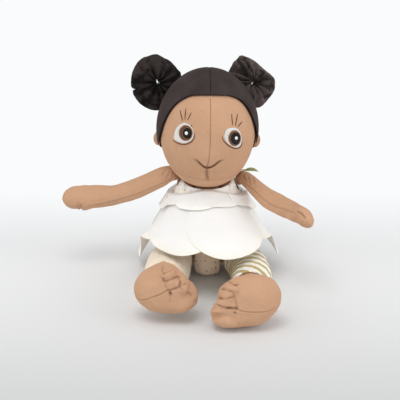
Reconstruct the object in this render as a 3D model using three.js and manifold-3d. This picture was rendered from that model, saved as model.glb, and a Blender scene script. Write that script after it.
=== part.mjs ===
// A seated, stuffed cloth doll in a petal dress, in millimetres, with +Z up.
// It faces -Y. The origin lies on the flat of its seat, and its own left side is at +X.
import * as THREE from 'three';
import { mergeVertices } from 'three/addons/utils/BufferGeometryUtils.js';
import Module from 'manifold-3d';

const wasm = await Module();
wasm.setup();

// Driving dimensions
const headHalfWidth = 51;
const headHalfDepth = 50;
const headHalfHeight = 62;
const headSeat = 8.4;
const headForward = 12;
const torsoHeight = 104;
const headCentreHeight = torsoHeight - headSeat + headHalfHeight;
const seatHalfWidth = 45;
const seatHalfDepth = 34;
const armLength = 112;
const armHalfThickness = 10.4;
const legHalfThickness = 17.5;
const footHalfLength = 32.5;
const footHalfThickness = 19;
const clothThickness = 1;
const velourThickness = 2.2;
const bunRadius = 27;
const legLength = 118;
const skirtReachFront = 108;
const skirtReachSide = 75;
const skirtReachBack = 60;
const skirtFootFront = 48.5;
const skirtFootSide = 11;
const skirtFootBack = 8;

// Clearances between sewn pieces, and one overrun for every cut
const seamGap = 0.3;
const runningGap = 0.5;
const overrun = 20;

// How far the movable pieces swing, in degrees
const nodForward = 4;
const nodBack = 5;

// Angles of the rest pose, in degrees
const headRoll = 1.8;
const headYaw = 2;

// Cuts may be simplified by this much
const outlineTolerance = 0.05;

const deg = THREE.MathUtils.degToRad;
const vec = (x, y, z) => new THREE.Vector3(x, y, z);

// Closed meshes are turned so that their faces point out
function facingOut(positions, triangles) {
  let volume = 0;
  for (let k = 0; k < triangles.length; k += 3) {
    const [a, b, c] = [0, 1, 2].map((n) => positions[triangles[k + n]]);
    volume += a.dot(vec(0, 0, 0).crossVectors(b, c));
  }
  if (volume < 0) {
    triangles.reverse();
  }
  const geometry = new THREE.BufferGeometry();
  geometry.setAttribute('position', new THREE.Float32BufferAttribute(positions.flatMap((p) => p.toArray()), 3));
  geometry.setIndex(triangles);
  return geometry;
}

// Rings of points are joined into a skin, closed at both ends by a point each
function skinOverRings(rings, startTip, endTip) {
  const sides = rings[0].length;
  const positions = [...rings.flat(), startTip, endTip];
  const start = positions.length - 2;
  const end = positions.length - 1;
  const last = (rings.length - 1) * sides;
  const triangles = [];
  for (let j = 0; j < sides; j++) {
    const next = (j + 1) % sides;
    triangles.push(start, next, j);
    triangles.push(end, last + j, last + next);
    for (let i = 0; i < rings.length - 1; i++) {
      const low = i * sides;
      const high = low + sides;
      triangles.push(low + j, low + next, high + next, low + j, high + next, high + j);
    }
  }
  return facingOut(positions, triangles);
}

// Rings that meet end to end make a closed hoop
function skinOverHoop(rings) {
  const sides = rings[0].length;
  const count = rings.length;
  const triangles = [];
  for (let i = 0; i < count; i++) {
    for (let j = 0; j < sides; j++) {
      const a = i * sides + j;
      const b = i * sides + ((j + 1) % sides);
      const c = ((i + 1) % count) * sides + ((j + 1) % sides);
      const d = ((i + 1) % count) * sides + j;
      triangles.push(a, b, c, a, c, d);
    }
  }
  return facingOut(rings.flat(), triangles);
}

// Two facing grids of points, joined along their edges, make a thin sheet
function skinOverSheet(outer, inner) {
  const rows = outer.length;
  const columns = outer[0].length;
  const positions = [...outer.flat(), ...inner.flat()];
  const half = rows * columns;
  const triangles = [];
  const quad = (a, b, c, d) => triangles.push(a, b, c, a, c, d);
  for (let i = 0; i < rows - 1; i++) {
    for (let j = 0; j < columns - 1; j++) {
      const a = i * columns + j;
      quad(a, a + 1, a + columns + 1, a + columns);
      quad(half + a, half + a + columns, half + a + columns + 1, half + a + 1);
    }
  }
  for (let j = 0; j < columns - 1; j++) {
    const foot = (rows - 1) * columns + j;
    quad(j, half + j, half + j + 1, j + 1);
    quad(foot, foot + 1, half + foot + 1, half + foot);
  }
  for (let i = 0; i < rows - 1; i++) {
    const left = i * columns;
    const right = left + columns - 1;
    quad(left, left + columns, half + left + columns, half + left);
    quad(right, half + right, half + right + columns, right + columns);
  }
  return facingOut(positions, triangles);
}

// One vertex at each place, so that a skin is closed across its seams
function merged(geometry) {
  const bare = geometry.clone();
  bare.deleteAttribute('normal');
  bare.deleteAttribute('uv');
  return mergeVertices(bare);
}

// A form is grown along its own normals, for a covering cloth or for clearance
function grown(geometry, margin) {
  const copy = merged(geometry);
  copy.computeVertexNormals();
  const position = copy.getAttribute('position');
  const normal = copy.getAttribute('normal');
  for (let k = 0; k < position.count; k++) {
    const x = position.getX(k) + normal.getX(k) * margin;
    const y = position.getY(k) + normal.getY(k) * margin;
    const z = position.getZ(k) + normal.getZ(k) * margin;
    position.setXYZ(k, x, y, z);
  }
  return copy;
}

// Solids for joining and cutting, and back again
function solid(geometry) {
  const closed = merged(geometry);
  const vertProperties = Float32Array.from(closed.getAttribute('position').array);
  const triVerts = Uint32Array.from(closed.getIndex().array);
  return new wasm.Manifold(new wasm.Mesh({ numProp: 3, vertProperties, triVerts }));
}

function geometryOf(manifold) {
  const mesh = manifold.getMesh();
  const geometry = new THREE.BufferGeometry();
  geometry.setAttribute('position', new THREE.BufferAttribute(Float32Array.from(mesh.vertProperties), 3));
  geometry.setIndex(new THREE.BufferAttribute(Uint32Array.from(mesh.triVerts), 1));
  return geometry;
}

function cutBy(base, ...cutters) {
  return cutters.reduce((left, cutter) => left.subtract(solid(cutter)), solid(base));
}

// A placed copy of a form. A mirroring matrix would leave its faces pointing in, so they are turned.
function placed(geometry, matrix) {
  const copy = merged(geometry).applyMatrix4(matrix);
  if (matrix.determinant() < 0) {
    copy.getIndex().array.reverse();
  }
  return copy;
}

// Of a form that a cut leaves in several bits, the largest is the piece
function largest(manifold) {
  const bits = manifold.decompose();
  return bits.reduce((best, bit) => (bit.volume() > best.volume() ? bit : best));
}

// A block between two corners, for cutting
function block(low, high) {
  const size = vec(0, 0, 0).subVectors(high, low);
  const middle = vec(0, 0, 0).addVectors(low, high).multiplyScalar(1 / 2);
  return new THREE.BoxGeometry(size.x, size.y, size.z).translate(middle.x, middle.y, middle.z);
}


// A ball whose flats all lie outside the radius, for cutting a socket
const ballSides = 12;
function ballRound(radius, at) {
  const form = new THREE.SphereGeometry(radius / Math.cos(Math.PI / ballSides), ballSides, ballSides / 2);
  return form.translate(at.x, at.y, at.z);
}

const whole = (headCentreHeight + headHalfHeight) * 2;
const above = (z) => block(vec(-whole, -whole, z), vec(whole, whole, z + whole));
const below = (z) => block(vec(-whole, -whole, z - whole), vec(whole, whole, z));

// A stuffed form swells and tapers through its control sections: each gives a centre, the half size
// across (along the side direction) and the half size deep. Each end is a half ball of the radius given for it.
function stuffed(controls, side, steps, sides, startRadius, endRadius) {
  const centres = new THREE.CatmullRomCurve3(controls.map((c) => c.at), false, 'centripetal');
  const sizes = new THREE.CatmullRomCurve3(controls.map((c) => vec(c.across, c.deep, 0)), false, 'centripetal');
  const startTip = centres.getPoint(0);
  const endTip = centres.getPoint(1);
  const rings = [];
  for (let i = 1; i < steps; i++) {
    const t = (1 - Math.cos((Math.PI * i) / steps)) / 2;
    const centre = centres.getPoint(t);
    const startFade = Math.max(0, 1 - centre.distanceTo(startTip) / startRadius);
    const endFade = Math.max(0, 1 - centre.distanceTo(endTip) / endRadius);
    const fade = Math.sqrt(1 - startFade ** 2) * Math.sqrt(1 - endFade ** 2);
    const size = sizes.getPoint(t).multiplyScalar(fade);
    const along = centres.getTangent(t);
    const deepWay = vec(0, 0, 0).crossVectors(along, side).normalize();
    const acrossWay = vec(0, 0, 0).crossVectors(deepWay, along).normalize();
    const ring = [];
    for (let j = 0; j < sides; j++) {
      const turn = (j / sides) * 2 * Math.PI;
      const point = centre.clone();
      point.addScaledVector(acrossWay, size.x * Math.cos(turn));
      point.addScaledVector(deepWay, size.y * Math.sin(turn));
      ring.push(point);
    }
    rings.push(ring);
  }
  return skinOverRings(rings, startTip, endTip);
}

// Reads a smooth curve through evenly listed shares
function readShares(shares, place) {
  const last = shares.length - 1;
  const at = Math.min(Math.max(place, 0), 1) * last;
  const low = Math.min(Math.floor(at), last - 1);
  const rest = at - low;
  const [a, b, c, d] = [low - 1, low, low + 1, low + 2].map((k) => shares[Math.min(Math.max(k, 0), last)]);
  const slopeB = (c - a) / 2;
  const slopeC = (d - b) / 2;
  const r2 = rest * rest;
  const r3 = r2 * rest;
  return b * (2 * r3 - 3 * r2 + 1) + slopeB * (r3 - 2 * r2 + rest) + c * (3 * r2 - 2 * r3) + slopeC * (r3 - r2);
}

function piece(name, geometry, color, roughness) {
  const mesh = new THREE.Mesh(geometry, new THREE.MeshStandardMaterial({ color, roughness, metalness: 0 }));
  mesh.name = name;
  return mesh;
}

const skinColor = 0xcb9f7a;
const hairColor = 0x3b3230;
const dressColor = 0xfaf8ee;
const printColor = 0xd9c8bb;
const leggingColor = 0xded2b8;
const tieColor = 0x97a06a;
const eyeWhiteColor = 0xf2efe8;
const irisColor = 0x5a4135;
const pupilColor = 0x14110f;
const clothRoughness = 0.9;
const threadRoughness = 0.6;

// The head is one stuffed form, a little narrower at the jaw, with a soft muzzle over the mouth
const headColumns = 28;
const headRows = 18;
const jawFullnessShare = 0.84;
const muzzleStandOut = 4.5;
const muzzleHalfWidth = 15;
const muzzleHalfHeight = 13;
const muzzleDrop = 27;

function headPoint(around, down) {
  const low = Math.max(0, -Math.cos(down));
  const wide = Math.sin(down) ** (1 - (1 - jawFullnessShare) * low);
  const x = headHalfWidth * wide * Math.sin(around);
  const y = -headHalfDepth * wide * Math.cos(around);
  const z = headHalfHeight * Math.cos(down);
  const near = y < 0 ? Math.exp(-((x / muzzleHalfWidth) ** 2) - ((z + muzzleDrop) / muzzleHalfHeight) ** 2) : 0;
  return vec(x, y - muzzleStandOut * near, z);
}

function headForm() {
  const rings = [];
  for (let i = 1; i < headRows; i++) {
    const ring = [];
    for (let j = 0; j < headColumns; j++) {
      ring.push(headPoint((j / headColumns) * 2 * Math.PI, (i / headRows) * Math.PI));
    }
    rings.push(ring);
  }
  return skinOverRings(rings, headPoint(0, 0), headPoint(0, Math.PI));
}

const head = headForm();

// The hair is a velour cap in two halves. Its edge runs along the hairline, past the ears and round the nape:
// shares of a half turn down from the crown, listed evenly from the middle of the brow to the nape.
const hairEdgeShares = [0.246, 0.248, 0.262, 0.318, 0.48, 0.585, 0.64, 0.68, 0.705, 0.72, 0.725];
const hairColumns = 32;
const hairRows = 4;
const hairReachShare = 1.2;
const crownShare = 0.04;

// The room that the hair fills: everything seen from the middle of the head that is above the hairline
function hairRoom(margin) {
  const rings = [];
  for (let i = 0; i <= hairRows; i++) {
    const ring = [];
    for (let j = 0; j < hairColumns; j++) {
      const around = (j / hairColumns) * 2 * Math.PI;
      const half = Math.abs(around > Math.PI ? 2 * Math.PI - around : around) / Math.PI;
      const edge = readShares(hairEdgeShares, half) + margin / (Math.PI * headHalfHeight);
      const down = Math.PI * (edge + (crownShare - edge) * (i / hairRows));
      ring.push(headPoint(around, down).multiplyScalar(hairReachShare));
    }
    rings.push(ring);
  }
  return skinOverRings(rings, vec(0, 0, 0), headPoint(0, 0).multiplyScalar(hairReachShare));
}

const headSkin = grown(head, seamGap);
const capThickness = seamGap + velourThickness;
const cap = solid(grown(head, capThickness)).subtract(solid(headSkin)).intersect(solid(hairRoom(0)));
const aroundCap = solid(grown(head, capThickness + seamGap)).intersect(solid(hairRoom(seamGap * 2)));
const capHalf = (side) => {
  const reach = headHalfWidth * 2;
  const low = side > 0 ? vec(seamGap / 2, -reach, -reach) : vec(-reach, -reach, -reach);
  const high = side > 0 ? vec(reach, reach, reach) : vec(-seamGap / 2, reach, reach);
  return cap.intersect(solid(block(low, high)));
};

// Small ears of doubled cloth, seated on the sides of the head
const earHalfHeight = 7.6;
const earHalfDepth = 5;
const earStandOut = 5.4;
const earDrop = 12;
const earBack = 2;
function ear(side) {
  const form = new THREE.SphereGeometry(1, 12, 8);
  form.scale(earStandOut, earHalfDepth, earHalfHeight);
  form.translate(side * (headHalfWidth - seamGap), earBack, -earDrop);
  return cutBy(form, headSkin).subtract(aroundCap);
}

// Embroidered eyes lie on the face: a white with a drawn-out outer corner, an iris ring and a pupil
const eyeThreadHeight = 0.9;
const irisHeightShare = 1.3;
const pupilHeightShare = 1.6;
const irisRadius = 6.4;
const pupilRadius = 4.4;
const eyeHalfWidth = 9.6;
const eyeHalfHeight = 10.2;
const eyeCornerReach = 3.4;
const eyeCornerAngle = 205;
const eyeCornerPower = 3;
const eyeCornerDropShare = 0.5;
const eyePlaces = [
  { side: 'right', acrossShare: -0.447, upShare: 0.13, irisShare: 0.043, cornerShare: 1 },
  { side: 'left', acrossShare: 0.49, upShare: 0.068, irisShare: 0.031, cornerShare: 0.35 },
];

function prismAlongY(shape, x, z) {
  const settings = { depth: headHalfDepth * 2, bevelEnabled: false, curveSegments: 8 };
  const prism = new THREE.ExtrudeGeometry(shape, settings);
  return prism.rotateX(Math.PI / 2).translate(x, 0, z);
}

function eyeOutline(place) {
  const shape = new THREE.Shape();
  const points = 20;
  for (let k = 0; k < points; k++) {
    const turn = (k / points) * 2 * Math.PI;
    const outward = Math.max(0, Math.cos(turn - deg(eyeCornerAngle)));
    const reach = eyeCornerReach * place.cornerShare * outward ** eyeCornerPower;
    const x = (eyeHalfWidth + reach) * Math.cos(turn);
    const z = (eyeHalfHeight + reach * eyeCornerDropShare) * Math.sin(turn);
    const at = [x, z];
    k ? shape.lineTo(...at) : shape.moveTo(...at);
  }
  shape.closePath();
  return shape;
}

function disc(radius) {
  return new THREE.Shape().absarc(0, 0, radius, 0, 2 * Math.PI, false);
}

function threadOnFace(outline, x, z, height) {
  const layer = solid(grown(head, seamGap + height)).subtract(solid(headSkin));
  return layer.intersect(solid(prismAlongY(outline, x, z)));
}

// Each bun is a gathered velour hoop, pulled tight round a small middle
const bunTubeAcross = 12.1;
const bunTubeDeep = 10.5;
const bunPleats = 11;
const pleatDepth = 1.6;
const pleatFullShare = 0.4;
function bunForm() {
  const around = bunPleats * 4;
  const sides = 7;
  const rings = [];
  for (let i = 0; i < around; i++) {
    const turn = (i / around) * 2 * Math.PI;
    const pleat = pleatDepth * Math.cos(bunPleats * turn);
    const ring = [];
    for (let j = 0; j < sides; j++) {
      const angle = (j / sides) * 2 * Math.PI;
      const across = bunTubeAcross + pleat * Math.max(0, pleatFullShare + Math.cos(angle));
      const deep = bunTubeDeep + pleat;
      const reach = bunRadius - bunTubeAcross - pleatDepth + across * Math.cos(angle);
      ring.push(vec(reach * Math.cos(turn), deep * Math.sin(angle), reach * Math.sin(turn)));
    }
    rings.push(ring);
  }
  return skinOverHoop(rings);
}

// Where each bun sits on the head, and how far it flops open towards the side
const bunPlaces = [
  { side: 'right', placeShares: [-0.855, 0.42, 0.685], flop: 8, turn: 10 },
  { side: 'left', placeShares: [0.742, 0.355, 0.71], flop: 38, turn: -12 },
];

function bun(place) {
  const form = bunForm();
  const at = vec(...place.placeShares).multiplyScalar(headHalfHeight);
  form.rotateY(Math.atan2(at.z, at.x));
  form.rotateZ(deg(place.turn));
  const hinge = vec(-at.z, 0, at.x).normalize();
  form.applyMatrix4(new THREE.Matrix4().makeRotationAxis(hinge, deg(place.flop)));
  form.translate(at.x, at.y, at.z);
  return largest(cutBy(form, headSkin).subtract(aroundCap));
}

const headGroup = new THREE.Group();
headGroup.position.set(0, -headForward, headCentreHeight);
headGroup.rotation.set(0, deg(headRoll), deg(headYaw));
headGroup.updateMatrix();

headGroup.add(piece('head', head, skinColor, clothRoughness));
for (const [name, side] of [['right_hair_cap', -1], ['left_hair_cap', 1]]) {
  headGroup.add(piece(name, geometryOf(capHalf(side)), hairColor, clothRoughness));
}
for (const [name, side] of [['right_ear', -1], ['left_ear', 1]]) {
  headGroup.add(piece(name, geometryOf(ear(side)), skinColor, clothRoughness));
}
for (const place of eyePlaces) {
  const whiteX = headHalfWidth * place.acrossShare;
  const irisX = whiteX + headHalfWidth * place.irisShare;
  const z = headHalfHeight * place.upShare;
  const white = threadOnFace(eyeOutline(place), whiteX, z, eyeThreadHeight)
    .subtract(solid(prismAlongY(disc(irisRadius + seamGap), irisX, z)));
  const iris = threadOnFace(disc(irisRadius), irisX, z, eyeThreadHeight * irisHeightShare)
    .subtract(solid(prismAlongY(disc(pupilRadius + seamGap), irisX, z)));
  const pupil = threadOnFace(disc(pupilRadius), irisX, z, eyeThreadHeight * pupilHeightShare);
  headGroup.add(piece(`${place.side}_eye_white`, geometryOf(white), eyeWhiteColor, threadRoughness));
  headGroup.add(piece(`${place.side}_iris`, geometryOf(iris), irisColor, threadRoughness));
  headGroup.add(piece(`${place.side}_pupil`, geometryOf(pupil), pupilColor, threadRoughness));
}
for (const place of bunPlaces) {
  headGroup.add(piece(`${place.side}_bun`, geometryOf(bun(place)), hairColor, clothRoughness));
}

// The neck is a short stuffed post, let into the body and domed where the head rocks on it
const neckRadius = 14;
const neckHeight = 22;
const neckRoot = 26;
const neckFoot = torsoHeight - neckRoot;
const neckAcross = -headForward;
const neckTop = headCentreHeight - headHalfHeight;
function neckForm(margin) {
  const radius = neckRadius + margin;
  const form = new THREE.CylinderGeometry(radius, radius, neckHeight + margin * 2, 24);
  return form.rotateX(Math.PI / 2).translate(0, neckAcross, neckFoot + neckHeight / 2);
}

// The room that the head sweeps as it nods any way round on the neck, for everything under it to stay clear of:
// the underside of the head, tilted as far as it goes and turned about the neck
const sweepSteps = 16;
const sweepSides = 24;
function headSweep() {
  const tilt = deg(Math.max(nodForward, nodBack));
  const points = [new THREE.Vector2(0, 0)];
  for (let k = 0; k <= sweepSteps; k++) {
    const down = Math.PI - (k / sweepSteps) * (Math.PI / 2);
    const skin = headPoint(Math.PI / 2, down);
    const across = skin.x + runningGap;
    const up = skin.z + headHalfHeight;
    const out = across * Math.cos(tilt) + up * Math.sin(tilt);
    points.push(new THREE.Vector2(out, up * Math.cos(tilt) - skin.x * Math.sin(tilt) - runningGap));
  }
  points[0].y = points[1].y;
  points.push(new THREE.Vector2(0, points[sweepSteps + 1].y));
  const room = new THREE.LatheGeometry(points, sweepSides).rotateX(Math.PI / 2);
  return room.translate(0, neckAcross, neckTop);
}
const headRoom = [headSweep()];

// The body: a stuffed pear, flat where it sits, with sockets for the limbs
const bloomersThickness = 2.7;
const seatFlat = bloomersThickness + seamGap;
const x1 = vec(1, 0, 0);
const z1 = vec(0, 0, 1);
function section(x, y, z, across, deep) {
  return { at: vec(x, y, z), across, deep };
}
const bodySteps = 11;
const bodySides = 24;
const bodySink = 2;
const bodyRoundShare = 0.08;
const bellyForward = 3;
const bodyWidthShares = [1, 1.04, 0.98, 0.88, 0.77, 0.64];
const bodyDepthShares = [1, 1.04, 1.02, 0.92, 0.81, 0.68];
const bellyShares = [0, 0.5, 1, 0.5, 0, 0];
function bodyAt(z) {
  const up = (z + bodySink) / (torsoHeight + bodySink);
  return {
    across: seatHalfWidth * readShares(bodyWidthShares, up),
    deep: seatHalfDepth * readShares(bodyDepthShares, up),
    forward: bellyForward * readShares(bellyShares, up),
  };
}
function bodyForm() {
  const rings = [];
  for (let i = 1; i < bodySteps; i++) {
    const t = (1 - Math.cos((Math.PI * i) / bodySteps)) / 2;
    const end = Math.max(0, 1 - Math.min(t, 1 - t) / bodyRoundShare);
    const fade = Math.sqrt(1 - end ** 2);
    const z = t * (torsoHeight + bodySink) - bodySink;
    const { across, deep, forward } = bodyAt(z);
    const ring = [];
    for (let j = 0; j < bodySides; j++) {
      const turn = (j / bodySides) * 2 * Math.PI;
      ring.push(vec(across * fade * Math.sin(turn), -forward - deep * fade * Math.cos(turn), z));
    }
    rings.push(ring);
  }
  return skinOverRings(rings, vec(0, 0, -bodySink), vec(0, 0, torsoHeight));
}
const body = bodyForm();

// The arms: each a tapering stuffed tube with a mitten hand and a sewn thumb
const shoulderAcross = 41;
const shoulderDrop = 3.5;
const shoulderHeight = torsoHeight - shoulderDrop;
const shoulderSlump = 3.5;
const shoulderBack = -2;
const armSag = 7;
const wristShare = 0.84;
const handShare = 1.14;
const armSteps = 13;
const armSides = 12;
const thumbReach = 26;
const thumbHalfLength = 8.5;
const thumbHalfThickness = 5.6;
const thumbLean = 20;
const thumbForwardShare = 0.5;
const armPlaces = [
  { side: 'right', way: -1, forward: 4, drop: 10, sink: 0 },
  { side: 'left', way: 1, forward: 56, drop: 6, sink: 1 },
];
const armShares = [
  [-armHalfThickness / armLength, 1, 0],
  [0, 1, 0],
  [0.25, 0.99, 0.7],
  [0.5, 0.93, 1],
  [0.74, wristShare, 0.75],
  [0.87, handShare, 0.4],
  [1, 1, 0],
];
function armForm() {
  const tube = stuffed(armShares.map(([along, thick, sag]) => section(
    along * armLength, 0, -armSag * sag, armHalfThickness * thick, armHalfThickness * thick,
  )), z1, armSteps, armSides, armHalfThickness, armHalfThickness);
  const thumb = new THREE.SphereGeometry(1, 8, 6);
  thumb.scale(thumbHalfLength, thumbHalfThickness, thumbHalfThickness);
  thumb.rotateY(deg(thumbLean));
  thumb.translate(armLength - thumbReach, -armHalfThickness * thumbForwardShare, -armHalfThickness);
  return solid(tube).add(solid(thumb));
}
function armMatrix(place) {
  const height = shoulderHeight - shoulderSlump * place.sink;
  const matrix = new THREE.Matrix4().makeTranslation(place.way * shoulderAcross, shoulderBack, height);
  if (place.way < 0) {
    matrix.multiply(new THREE.Matrix4().makeScale(-1, 1, 1));
  }
  matrix.multiply(new THREE.Matrix4().makeRotationZ(deg(-place.forward)));
  return matrix.multiply(new THREE.Matrix4().makeRotationY(deg(place.drop)));
}

// The gathered cloth that each limb hangs by: a shallow dish behind the limb's round end
const gatherThickness = 1.3;
const shoulderDishAngle = 48;
const hipDishAngle = 30;
function gatherDish(radius, halfAngle) {
  const inner = radius + runningGap;
  const outer = inner + gatherThickness;
  const steps = 3;
  const points = [];
  for (let k = 0; k <= steps; k++) {
    const turn = (halfAngle * k) / steps;
    points.push(new THREE.Vector2(inner * Math.sin(turn), inner * Math.cos(turn)));
  }
  for (let k = steps; k >= 0; k--) {
    const turn = (halfAngle * k) / steps;
    points.push(new THREE.Vector2(outer * Math.sin(turn), outer * Math.cos(turn)));
  }
  return new THREE.LatheGeometry(points, 14).rotateZ(Math.PI / 2);
}
const socketGrowth = runningGap + gatherThickness + runningGap;
const shoulders = armPlaces.map((place) => ballRound(
  armHalfThickness + socketGrowth, vec(0, 0, 0).setFromMatrixPosition(armMatrix(place)),
));

// The legs: stuffed tubes that bow outwards, in soft leggings
const hipAcross = 33;
const hipForward = 24;
const hipHeight = 20.5;
const legPlaces = [
  {
    side: 'right', way: -1,
    bowShare: 0.095, liftShare: 0.03, outShare: 0.07, ankleShare: 0.83, ankleUpShare: 0.11,
  },
  {
    side: 'left', way: 1,
    bowShare: 0.1, liftShare: 0.008, outShare: 0.04, ankleShare: 0.96, ankleUpShare: 0.05,
  },
];
const kneeStartShares = { along: 0.3, bow: 0.8, lift: 0.6 };
const kneeEndShare = 0.65;
const legSteps = 10;
const legSides = 16;
const kneeShare = 1.06;
const ankleThinShare = 0.72;
function legSpine(place) {
  const thigh = legHalfThickness;
  const along = (forward, out, up, wide, deep) => section(
    place.way * (hipAcross + legLength * out),
    -hipForward - legLength * forward,
    hipHeight + legLength * up,
    thigh * wide,
    thigh * deep,
  );
  const { bowShare, liftShare, outShare, ankleShare, ankleUpShare } = place;
  const knee = kneeStartShares;
  return [
    section(place.way * hipAcross, -hipForward + thigh, hipHeight, thigh, thigh),
    along(0, 0, 0, 1, 1),
    along(ankleShare * knee.along, bowShare * knee.bow, liftShare * knee.lift, kneeShare, 1),
    along(ankleShare * kneeEndShare, bowShare, liftShare, kneeShare, 1),
    along(ankleShare, outShare, ankleUpShare, ankleThinShare, ankleThinShare),
  ];
}
function legTube(place) {
  return stuffed(legSpine(place), x1, legSteps, legSides, legHalfThickness, seamGap);
}

// The feet: a stuffed pad with its sole forward, small toes up the inner edge and a big one under them.
// Outline shares run round the pad from the heel over the top; each toe has its place and its half sizes.
const footPlaces = [
  {
    side: 'right', way: -1, outShare: 0.0723, forwardShare: 0.9746, upShare: 0.1063,
    outlineShares: [0.95, 0.83, 0.78, 0.79, 0.66, 0.64, 0.84, 0.95, 0.88, 0.78, 0.83, 0.94],
    toeShares: [[-0.04, 0.62, 0.27, 0.15], [-0.15, 0.37, 0.28, 0.15], [-0.25, 0.11, 0.26, 0.15],
      [-0.5, 0.22, 0.17, 0.2], [-0.55, -0.34, 0.44, 0.37]],
  },
  {
    side: 'left', way: 1, outShare: 0.0253, forwardShare: 1.1106, upShare: 0.0517,
    outlineShares: [1.05, 1.03, 0.93, 0.82, 0.76, 0.7, 0.74, 0.98, 0.93, 0.79, 0.84, 0.96],
    toeShares: [[-0.33, 0.59, 0.22, 0.14], [-0.51, 0.39, 0.23, 0.14], [-0.59, 0.17, 0.26, 0.14],
      [-0.6, -0.08, 0.27, 0.15], [-0.56, -0.52, 0.5, 0.32]],
  },
];
const footSides = 18;
const footRings = 7;
const soleFullnessShare = 0.72;
const toeThicknessShare = 0.6;
const toeForwardShare = 0.4;
function footForm(place, margin) {
  const rings = [];
  const around = [...place.outlineShares, place.outlineShares[0]];
  for (let i = 1; i < footRings; i++) {
    const down = (i / footRings) * Math.PI;
    const ring = [];
    for (let j = 0; j < footSides; j++) {
      const turn = (j / footSides) * 2 * Math.PI;
      const reach = footHalfLength * readShares(around, j / footSides) * Math.sin(down) ** soleFullnessShare;
      ring.push(vec(reach * Math.cos(turn), footHalfThickness * Math.cos(down), reach * Math.sin(turn)));
    }
    rings.push(ring);
  }
  const pad = skinOverRings(rings, vec(0, footHalfThickness, 0), vec(0, -footHalfThickness, 0));
  const mirror = new THREE.Matrix4().makeScale(place.way, 1, 1);
  const foot = place.toeShares.reduce((whole, [x, z, across, up]) => {
    const toe = new THREE.SphereGeometry(1, 8, 6);
    toe.scale(footHalfLength * across, footHalfThickness * toeThicknessShare, footHalfLength * up);
    toe.translate(footHalfLength * x, -footHalfThickness * toeForwardShare, footHalfLength * z);
    return whole.add(solid(grown(toe, margin)));
  }, solid(grown(pad, margin)));
  const x = place.way * (hipAcross + legLength * place.outShare);
  const y = -hipForward - legLength * place.forwardShare;
  return placed(geometryOf(foot), mirror).translate(x, y, hipHeight + legLength * place.upShare);
}

// The dress: a bodice and bloomers that cover the body, a seam band, and petals that hang from it.
// A petal's place is read on one bell that falls from the waist, spreads over the lap and hangs at the sides.
const bloomersShare = 0.596;
const bloomersTop = torsoHeight * bloomersShare;
const bodiceThickness = 1.6;
const bandHeight = 5;
const bandThickness = 1.1;
const bandEase = 0.3;
const bandUnderPetals = 2;
const waistDrop = 12;
const waistHeight = torsoHeight - waistDrop;
const bodiceUnderWaist = 16;
const bodiceFoot = waistHeight - bodiceUnderWaist;
const armholeDip = 11;
const bellPlaces = {
  front: { fallOutShare: 0.11, fallUpShare: 0.74, bendOutShare: 0.44, bendUpShare: 0.35, foot: skirtFootFront },
  side: { fallOutShare: 0.12, fallUpShare: 0.85, bendOutShare: 0.58, bendUpShare: 0.46, foot: skirtFootSide },
  back: { fallOutShare: 0.12, fallUpShare: 0.85, bendOutShare: 0.62, bendUpShare: 0.45, foot: skirtFootBack },
};
const lapHalfAngle = 58;
const lapFade = 26;
const backStartAngle = 105;
const backFade = 45;
const foldDepth = 2.4;
const foldCount = 8;
const foldPhase = 0.7;
const foldLiftShare = 0.35;
const layerGap = 0.5;
const layerPitch = clothThickness + layerGap;

const smooth = (share) => {
  const held = Math.min(Math.max(share, 0), 1);
  return held * held * (3 - 2 * held);
};
const mix = (a, b, share) => a + (b - a) * share;
const oval = (around, across, deep) => 1 / Math.hypot(Math.sin(around) / across, Math.cos(around) / deep);
const waistTop = (around) => waistHeight - armholeDip * Math.sin(around) ** 2;
function waistPoint(around, margin, up) {
  const { across, deep } = bodyAt(waistTop(around) + up);
  const out = oval(around, across + margin, deep + margin);
  return vec(out * Math.sin(around), -out * Math.cos(around), waistTop(around) + up);
}

const wornMargin = seamGap + bodiceThickness + bandEase + seamGap;
const petalMargin = wornMargin + bandThickness + seamGap;
function bellPoint(around, down) {
  const front = 1 - smooth((Math.abs(around) - deg(lapHalfAngle)) / deg(lapFade));
  const back = smooth((Math.abs(around) - deg(backStartAngle)) / deg(backFade));
  const behind = (key) => mix(bellPlaces.side[key], bellPlaces.back[key], back);
  const pick = (key) => mix(behind(key), bellPlaces.front[key], front);
  const waist = waistPoint(around, petalMargin, 0);
  const start = Math.hypot(waist.x, waist.y);
  const reach = oval(around, skirtReachSide, Math.cos(around) > 0 ? skirtReachFront : skirtReachBack);
  const foot = pick('foot');
  const top = waist.z;
  const outs = [start, mix(start, reach, pick('fallOutShare')), mix(start, reach, pick('bendOutShare')), reach];
  const ups = [top, mix(foot, top, pick('fallUpShare')), mix(foot, top, pick('bendUpShare')), foot];
  const up = 1 - down;
  const weights = [up ** 3, 3 * up * up * down, 3 * up * down * down, down ** 3];
  const sum = (values) => values.reduce((total, value, k) => total + value * weights[k], 0);
  const fold = foldDepth * down * Math.cos(foldCount * around + foldPhase);
  const out = sum(outs) + fold;
  return vec(out * Math.sin(around), -out * Math.cos(around), sum(ups) + fold * foldLiftShare);
}

const lookStep = 0.01;
function bellOffset(around, down, out) {
  const step = lookStep;
  const alongAround = bellPoint(around + step, down).sub(bellPoint(around - step, down));
  const alongDown = bellPoint(around, down + step).sub(bellPoint(around, down - step));
  const outward = alongDown.cross(alongAround).normalize();
  return bellPoint(around, down).addScaledVector(outward, out);
}

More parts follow.
